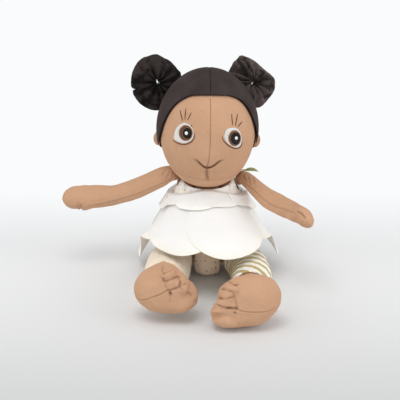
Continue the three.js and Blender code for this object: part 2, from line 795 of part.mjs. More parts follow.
// Every petal is cut from one of four layers of cloth that follow the bell, so that petals lap without touching
const layerColumns = 40;
const cutMarginShare = 1.1;
const layerOut = ({ layer, flare, end }, down, out) => layer * layerPitch + out + flare * (down / end) ** 2;
function clothLayer(leaf) {
  const rings = [];
  for (let j = 0; j < layerColumns; j++) {
    const around = ((j / layerColumns) * 2 - 1) * Math.PI;
    const ring = [];
    for (let i = 0; i <= leaf.rows; i++) {
      const down = leaf.end * leaf.sheetShare * (i / leaf.rows);
      ring.push(bellOffset(around, down, layerOut(leaf, down, clothThickness)));
    }
    for (let i = leaf.rows; i >= 0; i--) {
      const down = leaf.end * leaf.sheetShare * (i / leaf.rows);
      ring.push(bellOffset(around, down, layerOut(leaf, down, 0)));
    }
    rings.push(ring);
  }
  return solid(skinOverHoop(rings));
}

// A petal's outline hangs towards one direction and widens before its rounded foot
const petalFullShare = 0.9;
const footPower = 2.2;
function petalRoom(leaf) {
  const { towards, topShare, fullShare, end, roundShare } = leaf;
  const columns = 8;
  const rows = 5;
  const grid = (out) => {
    const lines = [];
    for (let i = 0; i <= rows; i++) {
      const line = [];
      for (let j = 0; j <= columns; j++) {
        const across = Math.sin(((j / columns) * 2 - 1) * (Math.PI / 2));
        const foot = end * (1 - roundShare * (1 - Math.sqrt(1 - Math.abs(across) ** footPower)));
        const down = mix(-end * (leaf.sheetShare - 1), foot, i / rows);
        const middle = bellPoint(deg(towards), down);
        const reach = Math.hypot(middle.x, middle.y);
        const half = skirtReachSide * mix(topShare, fullShare, smooth(down / (end * petalFullShare)));
        const around = deg(towards) + Math.asin(Math.max(-1, Math.min(1, (across * half) / reach)));
        line.push(bellOffset(around, down, layerOut(leaf, down, out)));
      }
      lines.push(line);
    }
    return lines;
  };
  const over = clothThickness * cutMarginShare;
  return solid(skinOverSheet(grid(clothThickness + over), grid(-over)));
}

const petal = (leaf) => clothLayer(leaf).intersect(petalRoom(leaf)).simplify(outlineTolerance);

const bigPetal = { end: 1, sheetShare: 1.05, roundShare: 0.5, flare: 0, rows: 7 };
const petals = [
  { name: 'front_left_petal', towards: 19, topShare: 0.29, fullShare: 0.61, layer: 1 },
  { name: 'front_right_petal', towards: -24, topShare: 0.3, fullShare: 0.565, layer: 0 },
  { name: 'side_right_petal', towards: -76, topShare: 0.32, fullShare: 0.56, layer: 1 },
  { name: 'side_left_petal', towards: 76, topShare: 0.32, fullShare: 0.56, layer: 0 },
  { name: 'back_right_petal', towards: -146, topShare: 0.3, fullShare: 0.54, layer: 0 },
  { name: 'back_left_petal', towards: 146, topShare: 0.3, fullShare: 0.54, layer: 1 },
];
const bigPetalLayers = 2;
const upperPetalCount = 8;
const upperPetalFlare = 1.5;
const upperPetal = {
  topShare: 0.22, fullShare: 0.27, end: 0.36, sheetShare: 1.1, roundShare: 0.5, flare: upperPetalFlare, rows: 3,
};

// The seam band runs round the waist, over the bodice and under the petals' tops
function band() {
  const rings = [];
  for (let k = 0; k < bodySides; k++) {
    const around = (k / bodySides) * 2 * Math.PI;
    const bandTop = bandHeight - bandUnderPetals;
    rings.push([
      waistPoint(around, wornMargin, -bandUnderPetals),
      waistPoint(around, wornMargin + bandThickness, -bandUnderPetals),
      waistPoint(around, wornMargin + bandThickness, bandTop),
      waistPoint(around, wornMargin, bandTop),
    ]);
  }
  return skinOverHoop(rings);
}

// Room for a leg to swing down and outwards from its hip
const hipRadius = legHalfThickness + socketGrowth;
function legRoom(way) {
  const shape = new THREE.Shape();
  const steps = 10;
  shape.moveTo(-whole, hipHeight + hipRadius);
  for (let k = 0; k <= steps; k++) {
    const turn = (k / steps) * (Math.PI / 2);
    shape.lineTo(-hipForward + hipRadius * Math.sin(turn), hipHeight + hipRadius * Math.cos(turn));
  }
  shape.lineTo(-hipForward + hipRadius, -overrun);
  shape.lineTo(-whole, -overrun);
  shape.closePath();
  const prism = new THREE.ExtrudeGeometry(shape, { depth: whole, bevelEnabled: false });
  prism.rotateX(Math.PI / 2).rotateZ(Math.PI / 2).translate(hipAcross - hipRadius, 0, 0);
  return placed(prism, new THREE.Matrix4().makeScale(way, 1, 1));
}

// The leggings: soft sleeves over the legs, from the thigh to the ankle
const leggingThickness = 2.3;
const leggingStart = 16;
const leggingEndShare = 0.8;
function legging(place) {
  const start = -hipForward - leggingStart;
  const end = -hipForward - legLength * place.ankleShare * leggingEndShare;
  const leg = legTube(place);
  const sleeve = cutBy(grown(leg, seamGap + leggingThickness), grown(leg, seamGap), below(0));
  return sleeve.intersect(solid(block(vec(-whole, end, -whole), vec(whole, start, whole))));
}

// The dress ties over each shoulder with a thin ribbon, whose end hangs loose past its knot
const ribbonHalfWidth = 1.3;
const ribbonHalfThickness = 0.5;
const knotRadius = 2.1;
const ribbonSteps = 16;
const tiePlaces = [
  {
    side: 'right', way: -1,
    overShares: [[0.235, -0.19], [0.25, -0.11], [0.257, -0.02], [0.262, 0.06], [0.27, 0.13]],
    tailShares: [[0.28, 0.2, 0.93], [0.29, 0.27, 0.88], [0.295, 0.32, 0.82]],
    knotShares: [0.275, 0.16, 0.955],
  },
  {
    side: 'left', way: 1,
    overShares: [[0.235, -0.19], [0.25, -0.11], [0.257, -0.02], [0.262, 0.06]],
    tailShares: [[0.32, 0.125, 0.985], [0.42, 0.12, 1.005], [0.53, 0.11, 0.975]],
    knotShares: [0.3, 0.13, 0.985],
  },
];
const ribbonLookSteps = 8;
const ribbonEase = 0.6;
function heightOver(mesh, x, y) {
  const heights = [-ribbonHalfWidth, 0, ribbonHalfWidth].map((aside) => {
    const ray = new THREE.Raycaster(vec(x + aside, y, whole), vec(0, 0, -1));
    const hits = ray.intersectObject(mesh);
    return hits.length ? hits[0].point.z : 0;
  });
  return Math.max(...heights);
}
function tie(place, under) {
  const plan = new THREE.CatmullRomCurve3(place.overShares.map(([x, y]) => vec(x * place.way, y, 0)));
  const over = plan.getPoints(ribbonLookSteps).map((share) => {
    const at = share.multiplyScalar(torsoHeight);
    return at.setZ(heightOver(under, at.x, at.y) + seamGap + ribbonHalfThickness + ribbonEase);
  });
  const loose = place.tailShares.map(([x, y, z]) => vec(x * place.way, y, z).multiplyScalar(torsoHeight));
  const path = new THREE.CatmullRomCurve3([...over, ...loose]);
  const shape = new THREE.Shape();
  shape.moveTo(-ribbonHalfWidth, -ribbonHalfThickness);
  shape.lineTo(ribbonHalfWidth, -ribbonHalfThickness);
  shape.lineTo(ribbonHalfWidth, ribbonHalfThickness);
  shape.lineTo(-ribbonHalfWidth, ribbonHalfThickness);
  shape.closePath();
  const ribbon = new THREE.ExtrudeGeometry(shape, { steps: ribbonSteps, extrudePath: path });
  const [x, y, z] = place.knotShares;
  const knot = new THREE.OctahedronGeometry(knotRadius, 1);
  knot.translate(x * place.way * torsoHeight, y * torsoHeight, z * torsoHeight);
  const tied = geometryOf(solid(ribbon).add(solid(knot)));
  return largest(cutBy(tied, grown(body, wornMargin), ...headRoom));
}

const part = new THREE.Group();
part.add(headGroup);

for (const place of armPlaces) {
  const arm = placed(geometryOf(armForm()), armMatrix(place));
  part.add(piece(`${place.side}_arm`, arm, skinColor, clothRoughness));
  const dish = placed(gatherDish(armHalfThickness, deg(shoulderDishAngle)), armMatrix(place));
  const gather = geometryOf(cutBy(dish, ...headRoom));
  part.add(piece(`${place.side}_shoulder_gather`, gather, skinColor, clothRoughness));
}
for (const place of legPlaces) {
  const foot = footPlaces.find((f) => f.side === place.side);
  const footSolid = cutBy(footForm(foot, 0), below(0));
  part.add(piece(`${place.side}_foot`, geometryOf(footSolid), skinColor, clothRoughness));
  const hip = vec(place.way * hipAcross, -hipForward, hipHeight);
  const leg = cutBy(legTube(place), footForm(foot, seamGap));
  part.add(piece(`${place.side}_leg`, geometryOf(leg), skinColor, clothRoughness));
  part.add(piece(`${place.side}_legging`, geometryOf(legging(place)), leggingColor, clothRoughness));
  const gather = gatherDish(legHalfThickness, deg(hipDishAngle)).rotateZ(-Math.PI / 2);
  gather.translate(hip.x, hip.y, hip.z);
  part.add(piece(`${place.side}_hip_gather`, gather, skinColor, clothRoughness));
}

const bodyCuts = [...headRoom, neckForm(seamGap), ...shoulders, legRoom(-1), legRoom(1)];
const bodySolid = cutBy(body, below(seatFlat), ...bodyCuts).simplify(outlineTolerance);
part.add(piece('body', geometryOf(bodySolid), skinColor, clothRoughness));
part.add(piece('neck', geometryOf(cutBy(neckForm(0), ...headRoom)), skinColor, clothRoughness));

const bodyClear = grown(body, seamGap);
const bodice = cutBy(grown(body, seamGap + bodiceThickness), bodyClear, below(bodiceFoot), ...bodyCuts);
const bodiceMesh = piece('bodice', geometryOf(bodice.simplify(outlineTolerance)), dressColor, clothRoughness);
part.add(bodiceMesh);
const innerBody = cutBy(bodyClear, below(bloomersThickness));
const bloomers = cutBy(grown(body, seamGap + bloomersThickness), below(0), above(bloomersTop), ...bodyCuts)
  .subtract(innerBody);
part.add(piece('bloomers', geometryOf(bloomers.simplify(outlineTolerance)), printColor, clothRoughness));
part.add(piece('waist_band', band(), dressColor, clothRoughness));
for (const place of tiePlaces) {
  part.add(piece(`${place.side}_shoulder_tie`, geometryOf(tie(place, bodiceMesh)), tieColor, threadRoughness));
}
for (const place of petals) {
  const leaf = { ...bigPetal, ...place };
  part.add(piece(leaf.name, geometryOf(petal(leaf)), dressColor, clothRoughness));
}
for (let k = 0; k < upperPetalCount; k++) {
  const towards = ((k + 1 / 2) * 360) / upperPetalCount - 180;
  const leaf = { ...upperPetal, towards, layer: bigPetalLayers + (k % 2) };
  part.add(piece(`upper_petal_${k + 1}`, geometryOf(petal(leaf)), dressColor, clothRoughness));
}

export default part;
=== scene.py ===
# The looks of a seated, stuffed cloth doll in a petal dress, in metres, with +Z up.
# It faces -Y. Places on the face and feet are read from the photograph: a named pixel is looked along
# from the camera until it meets the piece that carries it.
import math

import bpy
import numpy as np
from mathutils import Matrix, Vector, noise
from mathutils.bvhtree import BVHTree


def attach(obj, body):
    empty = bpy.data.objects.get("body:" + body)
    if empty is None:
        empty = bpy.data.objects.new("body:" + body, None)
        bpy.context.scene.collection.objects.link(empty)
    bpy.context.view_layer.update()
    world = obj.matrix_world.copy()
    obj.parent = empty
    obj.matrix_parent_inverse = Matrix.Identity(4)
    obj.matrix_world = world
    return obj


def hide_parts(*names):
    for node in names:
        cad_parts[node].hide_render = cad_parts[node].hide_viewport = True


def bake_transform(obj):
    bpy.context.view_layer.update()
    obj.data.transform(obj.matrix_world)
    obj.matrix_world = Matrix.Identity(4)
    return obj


bl_info = {
    "name": "Cloth Doll",
    "version": (1, 0, 0),
    "blender": (4, 5, 0),
    "location": "View3D > Sidebar > Cloth Doll",
    "description": "Sews the pieces of a seated cloth doll over its CAD frame",
    "category": "Object",
}

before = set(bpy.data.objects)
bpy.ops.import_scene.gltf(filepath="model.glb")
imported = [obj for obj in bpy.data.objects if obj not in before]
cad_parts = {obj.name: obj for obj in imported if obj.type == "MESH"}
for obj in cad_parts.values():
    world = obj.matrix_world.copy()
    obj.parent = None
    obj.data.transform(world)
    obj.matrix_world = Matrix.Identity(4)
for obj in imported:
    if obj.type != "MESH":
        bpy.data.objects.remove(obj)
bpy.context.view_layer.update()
materials = {}
MM = 0.001
# Each side and the way that it lies along X
SIDES = {"right": -1, "left": 1}

# The camera that took the photograph
IMAGE_SIDE = 400
FOCAL_PIXELS = 1095
SENSOR = 36.0
CAMERA_TILT = math.radians(20)
CAMERA_AT = Vector((-7.8, -1110.6, 478.3)) * MM
CAMERA_FORWARD = Vector((0, math.cos(CAMERA_TILT), -math.sin(CAMERA_TILT)))
CAMERA_UP = Vector((0, math.sin(CAMERA_TILT), math.cos(CAMERA_TILT)))

# The head as a form: half sizes, fullness and place, as in the CAD part
HEAD_HALF = np.array((51.0, 50.0, 62.0))
HEAD_AT = Vector((0, -12, 157.6))
HEAD_TURN = Matrix.Rotation(math.radians(1.8), 3, "Y") @ Matrix.Rotation(math.radians(2), 3, "Z")
JAW_FULLNESS = 0.84
SEAM_GAP = 0.3
VELOUR = 2.2
HAIR_EDGE = {
    "left": (0.246, 0.248, 0.262, 0.318, 0.48, 0.585, 0.64, 0.68, 0.705, 0.72, 0.725),
    "right": (0.246, 0.25, 0.27, 0.345, 0.52, 0.595, 0.64, 0.68, 0.705, 0.72, 0.725),
}


def linear(red, green, blue):
    """A colour as a picture shows it, from 0 to 255, made linear for a material."""
    shares = [value / 255 for value in (red, green, blue)]
    return tuple(v / 12.92 if v <= 0.04045 else ((v + 0.055) / 1.055) ** 2.4 for v in shares)


# Handling pieces


def only(piece):
    if bpy.context.mode != "OBJECT":
        bpy.ops.object.mode_set(mode="OBJECT")
    bpy.ops.object.select_all(action="DESELECT")
    piece.select_set(True)
    bpy.context.view_layer.objects.active = piece


def made(name):
    """The primitive just added, named, with its place moved into its mesh."""
    piece = bpy.context.object
    piece.name = name
    piece.data.name = name
    only(piece)
    bpy.ops.object.transform_apply(location=True, rotation=True, scale=True)
    return piece


def finished(piece, kind, **values):
    """Adds one modifier, sets it up and applies it."""
    modifier = piece.modifiers.new(kind, kind)
    for key, value in values.items():
        setattr(modifier, key, value)
    only(piece)
    bpy.ops.object.modifier_apply(modifier=modifier.name)


def subdivided(piece, levels):
    if levels:
        finished(piece, "SUBSURF", levels=levels, render_levels=levels, quality=2)


def smoothed(piece, times):
    finished(piece, "SMOOTH", factor=0.5, iterations=times)


def smooth_shaded(piece):
    only(piece)
    bpy.ops.object.shade_smooth()
    return piece


MERGED = (bpy.ops.mesh.remove_doubles, {"threshold": 1e-5})
FACED_OUT = (bpy.ops.mesh.normals_make_consistent, {"inside": False})
TURNED_OVER = (bpy.ops.mesh.flip_normals, {})


def edited(piece, *steps):
    """Does steps of editing, each an operator and its settings, to the whole of a piece."""
    only(piece)
    bpy.ops.object.mode_set(mode="EDIT")
    bpy.ops.mesh.select_all(action="SELECT")
    for step, settings in steps:
        step(**settings)
    bpy.ops.object.mode_set(mode="OBJECT")
    return piece


def vectors(values, key):
    read = np.empty(len(values) * 3)
    values.foreach_get(key, read)
    return read.reshape(-1, 3)


def points(piece):
    return vectors(piece.data.vertices, "co") / MM


def outward(piece):
    return vectors(piece.data.vertex_normals, "vector")


def set_points(piece, at):
    piece.data.vertices.foreach_set("co", (at * MM).ravel())
    piece.data.update()


def pushed(piece, far):
    """Moves all points outward by so many mm, or each point by its own number."""
    set_points(piece, points(piece) + outward(piece) * np.reshape(far, (-1, 1)))


def bump(away, width):
    """1 where a measure is 0, and softly less the further it is from 0, by a width."""
    return np.exp(-((away / width) ** 2))


def attribute(piece, name):
    found = piece.data.attributes.get(name)
    return found or piece.data.attributes.new(name, "FLOAT", "POINT")


def set_attribute(piece, name, values):
    attribute(piece, name).data.foreach_set("value", np.asarray(values, dtype=np.float32))


def get_attribute(piece, name):
    values = np.zeros(len(piece.data.vertices), dtype=np.float32)
    attribute(piece, name).data.foreach_get("value", values)
    return values


def shaded(piece, amount):
    """Marks painted shade in folds, creases and seams, and the tint of edge stitching, in the fold attribute.
    """
    set_attribute(piece, "fold", np.clip(get_attribute(piece, "fold") + amount, 0, 1))


def ripple(at, scale, seed=0):
    """Smooth unevenness from -1 to 1, the same in each run."""
    shift = Vector((seed * 7.3, seed * 3.1, seed * 5.7))
    return np.array([noise.noise(Vector(point) * scale + shift) for point in at])


def linked(name, data):
    """A new object in the scene, with its mesh or curve."""
    piece = bpy.data.objects.new(name, data)
    bpy.context.scene.collection.objects.link(piece)
    return piece


def copied(name, node):
    """A merged copy of a CAD node's mesh, to start a soft piece from."""
    piece = linked(name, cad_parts[node].data.copy())
    piece.data.name = name
    piece.data.materials.clear()
    return edited(piece, MERGED)


STUFFING_FRAMES = 14
STUFFING = {
    "quality": 4, "mass": 0.2, "tension_stiffness": 12, "compression_stiffness": 12, "shear_stiffness": 6,
    "bending_stiffness": 1, "use_pressure": True, "uniform_pressure_force": 4.0,
}


def stuffed(piece, cap):
    """Blows the cloth up like filling does, each point moving no further than the cap, in mm."""
    start = points(piece)
    scene = bpy.context.scene
    scene.frame_set(1)
    modifier = piece.modifiers.new("Stuffing", "CLOTH")
    for key, value in STUFFING.items():
        setattr(modifier.settings, key, value)
    modifier.settings.effector_weights.gravity = 0
    modifier.collision_settings.use_self_collision = False
    modifier.point_cache.frame_start = 1
    modifier.point_cache.frame_end = STUFFING_FRAMES
    for number in range(1, STUFFING_FRAMES + 1):
        scene.frame_set(number)
    only(piece)
    bpy.ops.object.modifier_apply(modifier=modifier.name)
    scene.frame_set(1)
    moved = points(piece) - start
    length = np.linalg.norm(moved, axis=1)
    share = np.minimum(1, cap / np.maximum(length, 1e-9))
    set_points(piece, start + moved * share[:, None])


def sewn(name, node, voxel, rounding, levels=0, shrink=0.0, cap=0.0):
    """A soft piece from its CAD solid: remeshed, rounded, filled and made fine, with lengths in mm."""
    piece = copied(name, node)
    finished(piece, "REMESH", mode="VOXEL", voxel_size=voxel * MM, adaptivity=0)
    smoothed(piece, rounding)
    if shrink:
        pushed(piece, -shrink)
    if cap:
        stuffed(piece, cap)
        smoothed(piece, 2)
    subdivided(piece, levels)
    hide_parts(node)
    return smooth_shaded(piece)


def dressed(piece, dye, body):
    """Gives a piece its material, by key, and the body that it rides on, if it rides on only one."""
    piece.data.materials.clear()
    piece.data.materials.append(materials[dye])
    if body:
        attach(piece, body)
    return piece


# Looking along pixels, and seams


def through(knots, steps):
    """A smooth curve through the knots, of any number of coordinates, as evenly counted points."""
    knots = np.asarray(knots, dtype=float)
    ends = np.vstack([2 * knots[0] - knots[1], knots, 2 * knots[-1] - knots[-2]])
    curve = []
    for place in np.linspace(0, len(knots) - 1, steps):
        low = min(int(place), len(knots) - 2)
        t = place - low
        a, b, c, d = ends[low : low + 4]
        square, cube = 2 * a - 5 * b + 4 * c - d, 3 * b - a - 3 * c + d
        curve.append(0.5 * (2 * b + (c - a) * t + square * t**2 + cube * t**3))
    return np.array(curve)


# How finely outlines and edges are read and compared, and how often a look beside a piece draws nearer
OUTLINE_PARTS, OUTLINE_STEPS = 120, 600
EDGE_PARTS, EDGE_STEPS = 90, 120
NEARING_STEPS = 8


class Surface:
    """What a look along a pixel meets on one piece."""

    def __init__(self, piece):
        corners = [tuple(vertex.co) for vertex in piece.data.vertices]
        self.tree = BVHTree.FromPolygons(corners, [tuple(face.vertices) for face in piece.data.polygons])

    def seen(self, px, py):
        along = CAMERA_FORWARD + Vector((1, 0, 0)) * ((px - IMAGE_SIDE / 2) / FOCAL_PIXELS)
        along += CAMERA_UP * ((IMAGE_SIDE / 2 - py) / FOCAL_PIXELS)
        along.normalize()
        at, out, _, _ = self.tree.ray_cast(CAMERA_AT, along)
        if at is None:
            # The look passes beside the piece, so this walks to the place on it nearest to the look
            far = CAMERA_AT.length
            for _ in range(NEARING_STEPS):
                at, out, _, _ = self.tree.find_nearest(CAMERA_AT + along * far)
                far = (at - CAMERA_AT).dot(along)
        return np.array(at) / MM, np.array(out)

    def path(self, pixels, steps):
        found = [self.seen(*pixel) for pixel in through(pixels, steps)]
        return np.array([at for at, _ in found]), np.array([out for _, out in found])


def to_view(at):
    """Where points are in the photograph: pixels across, pixels down, and mm from the camera."""
    gap = at - np.array(CAMERA_AT) / MM
    far = gap @ np.array(CAMERA_FORWARD)
    half = IMAGE_SIDE / 2
    across = half + FOCAL_PIXELS * gap[:, 0] / far
    return np.stack([across, half - FOCAL_PIXELS * (gap @ np.array(CAMERA_UP)) / far, far], axis=1)


def from_view(seen):
    """Undoes to_view."""
    half, far = IMAGE_SIDE / 2, seen[:, 2]
    right = np.outer((seen[:, 0] - half) / FOCAL_PIXELS * far, (1, 0, 0))
    up = np.outer((half - seen[:, 1]) / FOCAL_PIXELS * far, CAMERA_UP)
    return np.array(CAMERA_AT) / MM + np.outer(far, CAMERA_FORWARD) + right + up


def turned_reach(flat, wanted):
    """How far an outline or a cloud of points reaches from its middle, at each of the wanted turns."""
    full = 2 * math.pi
    turn, away = np.arctan2(flat[:, 1], flat[:, 0]), np.hypot(flat[:, 0], flat[:, 1])
    part = np.round((turn + math.pi) / full * OUTLINE_PARTS).astype(int) % OUTLINE_PARTS
    reach = np.zeros(OUTLINE_PARTS)
    np.maximum.at(reach, part, away)
    turns = np.arange(OUTLINE_PARTS) / OUTLINE_PARTS * full - math.pi
    held = reach > 0
    return np.interp(wanted, turns[held], reach[held], period=full)


def fitted(piece, outline, middle):
    """Spreads a piece across the view until its outline is the one in the photograph."""
    seen = to_view(points(piece))
    flat = seen[:, :2] - middle
    turn = np.arctan2(flat[:, 1], flat[:, 0])
    now = turned_reach(flat, turn)
    want = turned_reach(through([*outline, outline[0]], OUTLINE_STEPS) - middle, turn)
    share = np.hypot(flat[:, 0], flat[:, 1]) / now
    seen[:, :2] = middle + flat * (1 + (want / now - 1) * share**1.5)[:, None]
    set_points(piece, from_view(seen))


def fitted_along(piece, start, end, upper, lower, ease=0.0):
    """Moves a long piece across the view until its two edges are the ones in the photograph.

    Nothing moves at the start where there is an ease, which is how many pixels it takes to move in full.
    """
    seen = to_view(points(piece))
    length = np.linalg.norm(np.subtract(end, start))
    way = np.subtract(end, start) / length
    side = np.array((way[1], -way[0]))
    along, across = (seen[:, :2] - start) @ way, (seen[:, :2] - start) @ side
    stretch = (length - along.max()) * np.clip(along / along.max(), 0, 1) ** 6
    seen[:, :2] += np.outer(stretch, way)
    along += stretch
    places = np.linspace(along.min(), along.max(), EDGE_PARTS)
    part = np.round(np.interp(along, places, np.arange(EDGE_PARTS))).astype(int)
    high, low = np.full(EDGE_PARTS, -1e9), np.full(EDGE_PARTS, 1e9)
    np.maximum.at(high, part, across)
    np.minimum.at(low, part, across)
    now_high, now_low = (np.interp(along, places, edge) for edge in (high, low))
    edges = []
    for knots in (upper, lower):
        flat = through(knots, EDGE_STEPS) - start
        order = np.argsort(flat @ way)
        edges.append(np.interp(along, (flat @ way)[order], (flat @ side)[order]))
    want_high, want_low = edges
    share = (across - now_low) / np.maximum(now_high - now_low, 1e-6)
    moved = want_low + share * (want_high - want_low) - across
    if ease:
        moved *= np.clip(along / ease, 0, 1)
    seen[:, :2] += np.outer(moved, side)
    set_points(piece, from_view(seen))


def away_from(at, path):
    """How far each point is from a path, and how far along the path its nearest place is, from 0 to 1."""
    best = np.full(len(at), 1e9)
    share = np.zeros(len(at))
    for k in range(len(path) - 1):
        start, along = path[k], path[k + 1] - path[k]
        t = np.clip(((at - start) @ along) / max(along @ along, 1e-12), 0, 1)
        gap = np.linalg.norm(at - start - t[:, None] * along, axis=1)
        closer = gap < best
        best = np.where(closer, gap, best)
        share = np.where(closer, (k + t) / (len(path) - 1), share)
    return best, share


# The swelling beside a crease, in widths of the crease: its middle, its width and where it ends
SWELL_AT, SWELL_WIDE, SWELL_END = 2.4, 1.3, 6


def creased(piece, surface, pixels, steps, width, depth, dark, swell, fade):
    """Pulls a crease into the cloth along pixels, with a swelling beside it, shallow at its ends, and painted
    shade in it.
    """
    path, out = surface.path(pixels, steps)
    gap, share = away_from(points(piece), path)
    facing = outward(piece) @ (np.mean(out, axis=0) / np.linalg.norm(np.mean(out, axis=0)))
    hold = np.clip(facing * 4, 0, 1) * np.clip(np.minimum(share, 1 - share) / fade + 0.35, 0, 1)
    dip = bump(gap, width) * hold
    beside = gap / width
    rise = bump(beside - SWELL_AT, SWELL_WIDE) * hold * (beside < SWELL_END)
    pushed(piece, rise * swell - dip * depth)
    shaded(piece, dip * dark)


def swollen(piece, centre, radius, height):
    """Raises a soft mound round a place."""
    pushed(piece, height * bump(np.linalg.norm(points(piece) - centre, axis=1), radius))


def threads(name, runs, dye, body, sides=2):
    """Lengths of thread as one piece. Each run is its points and its radius at each point, in mm."""
    curve = bpy.data.curves.new(name, "CURVE")
    curve.dimensions = "3D"
    curve.bevel_depth = MM
    curve.bevel_resolution = sides
    curve.resolution_u = 2
    curve.use_fill_caps = True
    for path, radii in runs:
        spline = curve.splines.new("POLY")
        spline.points.add(len(path) - 1)
        for knot, at, radius in zip(spline.points, path, radii):
            knot.co = (*(np.array(at) * MM), 1)
            knot.radius = radius
    only(linked(name, curve))
    bpy.ops.object.convert(target="MESH")
    piece = bpy.context.object
    edited(piece, MERGED, FACED_OUT)
    smooth_shaded(piece)
    return dressed(piece, dye, body)


def lying(path, out, radius, sink=0.35):
    """A run of thread that lies on the cloth along a path, tapered at its ends."""
    count = len(path)
    taper = [max(0.35, math.sin(math.pi * (k + 0.5) / count) ** 0.4) for k in range(count)]
    raised = [at + n * radius * (1 - sink) for at, n in zip(path, out)]
    return raised, [radius * t for t in taper]


def stitches(path, out, pitch, length, radius):
    """Short runs of thread along a seam, in and out of the cloth."""
    runs = []
    steps = np.linalg.norm(np.diff(path, axis=0), axis=1)
    reach = np.concatenate([[0], np.cumsum(steps)])

    def at(place):
        where, way = (
            np.array([np.interp(place, reach, values[:, k]) for k in range(3)]) for values in (path, out)
        )
        return where, way / np.linalg.norm(way)

    place = pitch / 2
    while place < reach[-1] - length:
        bit = []
        for t in (0, 0.2, 0.5, 0.8, 1):
            where, way = at(place + length * t)
            bit.append(where + way * radius * (1.5 * math.sin(math.pi * t) - 0.5))
        runs.append((bit, [radius * s for s in (0.6, 1, 1, 1, 0.6)]))
        place += pitch
    return runs


# Materials

# What the wave texture multiplies its places by
WAVE_FACTOR = 20


def scaled(colour, share):
    return tuple(min(1, value * share) for value in colour)


class Nodes:
    """The nodes of a material or a world."""

    def __init__(self, owner):
        owner.use_nodes = True
        self.tree = owner.node_tree

    def feed(self, node, **inputs):
        """Links or sets inputs, each by its name or, behind a low line, by its number."""
        for key, value in inputs.items():
            socket = node.inputs[int(key[1:])] if key[0] == "_" else node.inputs[key.replace("_", " ")]
            if isinstance(value, bpy.types.NodeSocket):
                self.tree.links.new(value, socket)
            elif socket.type == "RGBA":
                socket.default_value = (*value, 1)
            else:
                socket.default_value = value

    def add(self, kind, settings=None, **inputs):
        node = self.tree.nodes.new(kind)
        for key, value in (settings or {}).items():
            setattr(node, key, value)
        self.feed(node, **inputs)
        return node


class Dye(Nodes):
    """A material's nodes, with short words for adding them."""

    def __init__(self, name, roughness):
        self.material = bpy.data.materials.new(name)
        super().__init__(self.material)
        self.shader = self.tree.nodes["Principled BSDF"]
        self.feed(self.shader, Roughness=roughness, Specular_IOR_Level=0.2)
        self.place = self.add("ShaderNodeTexCoord").outputs["Object"]

    def placed(self, **values):
        return self.add("ShaderNodeMapping", Vector=self.place, **values).outputs[0]

    def clouds(self, scale, detail, stretch=None):
        where = self.placed(Scale=stretch) if stretch else self.place
        return self.add("ShaderNodeTexNoise", Vector=where, Scale=scale, Detail=detail).outputs["Fac"]

    def bands(self, pitch, way, uneven):
        """Ridges side by side, with their pitch in mm."""
        settings = {"wave_type": "BANDS", "bands_direction": way}
        scale = 2 * math.pi / (WAVE_FACTOR * pitch * MM)
        node = self.add("ShaderNodeTexWave", settings, Vector=self.place, Scale=scale, Distortion=uneven)
        return node.outputs["Fac"]

    def maths(self, operation, *values):
        inputs = {f"_{k}": value for k, value in enumerate(values)}
        return self.add("ShaderNodeMath", {"operation": operation}, **inputs).outputs[0]

    def between(self, value, low, high):
        settings = {"interpolation_type": "SMOOTHSTEP"}
        node = self.add("ShaderNodeMapRange", settings, Value=value, From_Min=low, From_Max=high)
        return node.outputs["Result"]

    def mixed(self, share, first, second):
        settings = {"data_type": "RGBA"}
        return self.add("ShaderNodeMix", settings, _0=share, _6=first, _7=second).outputs[2]

    def read(self, name):
        return self.add("ShaderNodeAttribute", {"attribute_name": name}).outputs["Fac"]

    def coloured(self, colour):
        self.feed(self.shader, Base_Color=colour)

    def bumped(self, *layers):
        """Each layer is a height socket, how deep it is in mm, and its strength."""
        normal = None
        for height, depth, strength in layers:
            node = self.add("ShaderNodeBump", Height=height, Distance=depth * MM, Strength=strength)
            if normal:
                self.feed(node, Normal=normal)
            normal = node.outputs["Normal"]
        self.feed(self.shader, Normal=normal)

    def glowing(self, weight, depth):
        """Lets light through thin cloth, to a depth in mm."""
        radii = (1, 0.9, 0.8)
        self.feed(self.shader, Subsurface_Weight=weight, Subsurface_Radius=radii, Subsurface_Scale=depth * MM)

    def sheen(self, weight, colour):
        self.feed(self.shader, Sheen_Weight=weight, Sheen_Tint=colour, Sheen_Roughness=0.5)


def velour(name, colour, dark, light, sheen, nap=1.0, crumple=0.0):
    """Short-piled velour: cloudy nap, fine pile, painted shade in folds and creases, pale where the pile
    turns away.
    """
    dye = Dye(name, 0.95)
    brushed = dye.clouds(38, 3)
    fine = dye.clouds(420, 3)
    pile = dye.clouds(1500, 2, (1, 1, 0.45))
    tone = dye.mixed(dye.between(brushed, 0.3, 0.72), dark, light)
    tone = dye.mixed(0.45 * nap, colour, tone)
    speck = dye.mixed(dye.between(fine, 0.35, 0.7), scaled(colour, 0.93), scaled(colour, 1.06))
    tone = dye.mixed(0.35, tone, speck)
    # Painted shade where the fold attribute marks folds, creases and seams
    tone = dye.mixed(dye.read("fold"), tone, scaled(dark, 0.36))
    tone = dye.mixed(dye.read("scalp"), tone, linear(52, 44, 43))
    layers = [(pile, 0.35, 0.5), (fine, 0.5, 0.25), (brushed, 0.8, 0.15)]
    if crumple:
        # Painted shade in the hollows of the crumples, which the bump also sinks
        creases = dye.clouds(95, 3)
        tone = dye.mixed(dye.between(creases, 0.5, 0.36), tone, scaled(dark, 0.4))
        layers.append((creases, crumple, 0.9))
    dye.coloured(tone)
    dye.bumped(*layers)
    dye.sheen(sheen, light)
    return dye.material


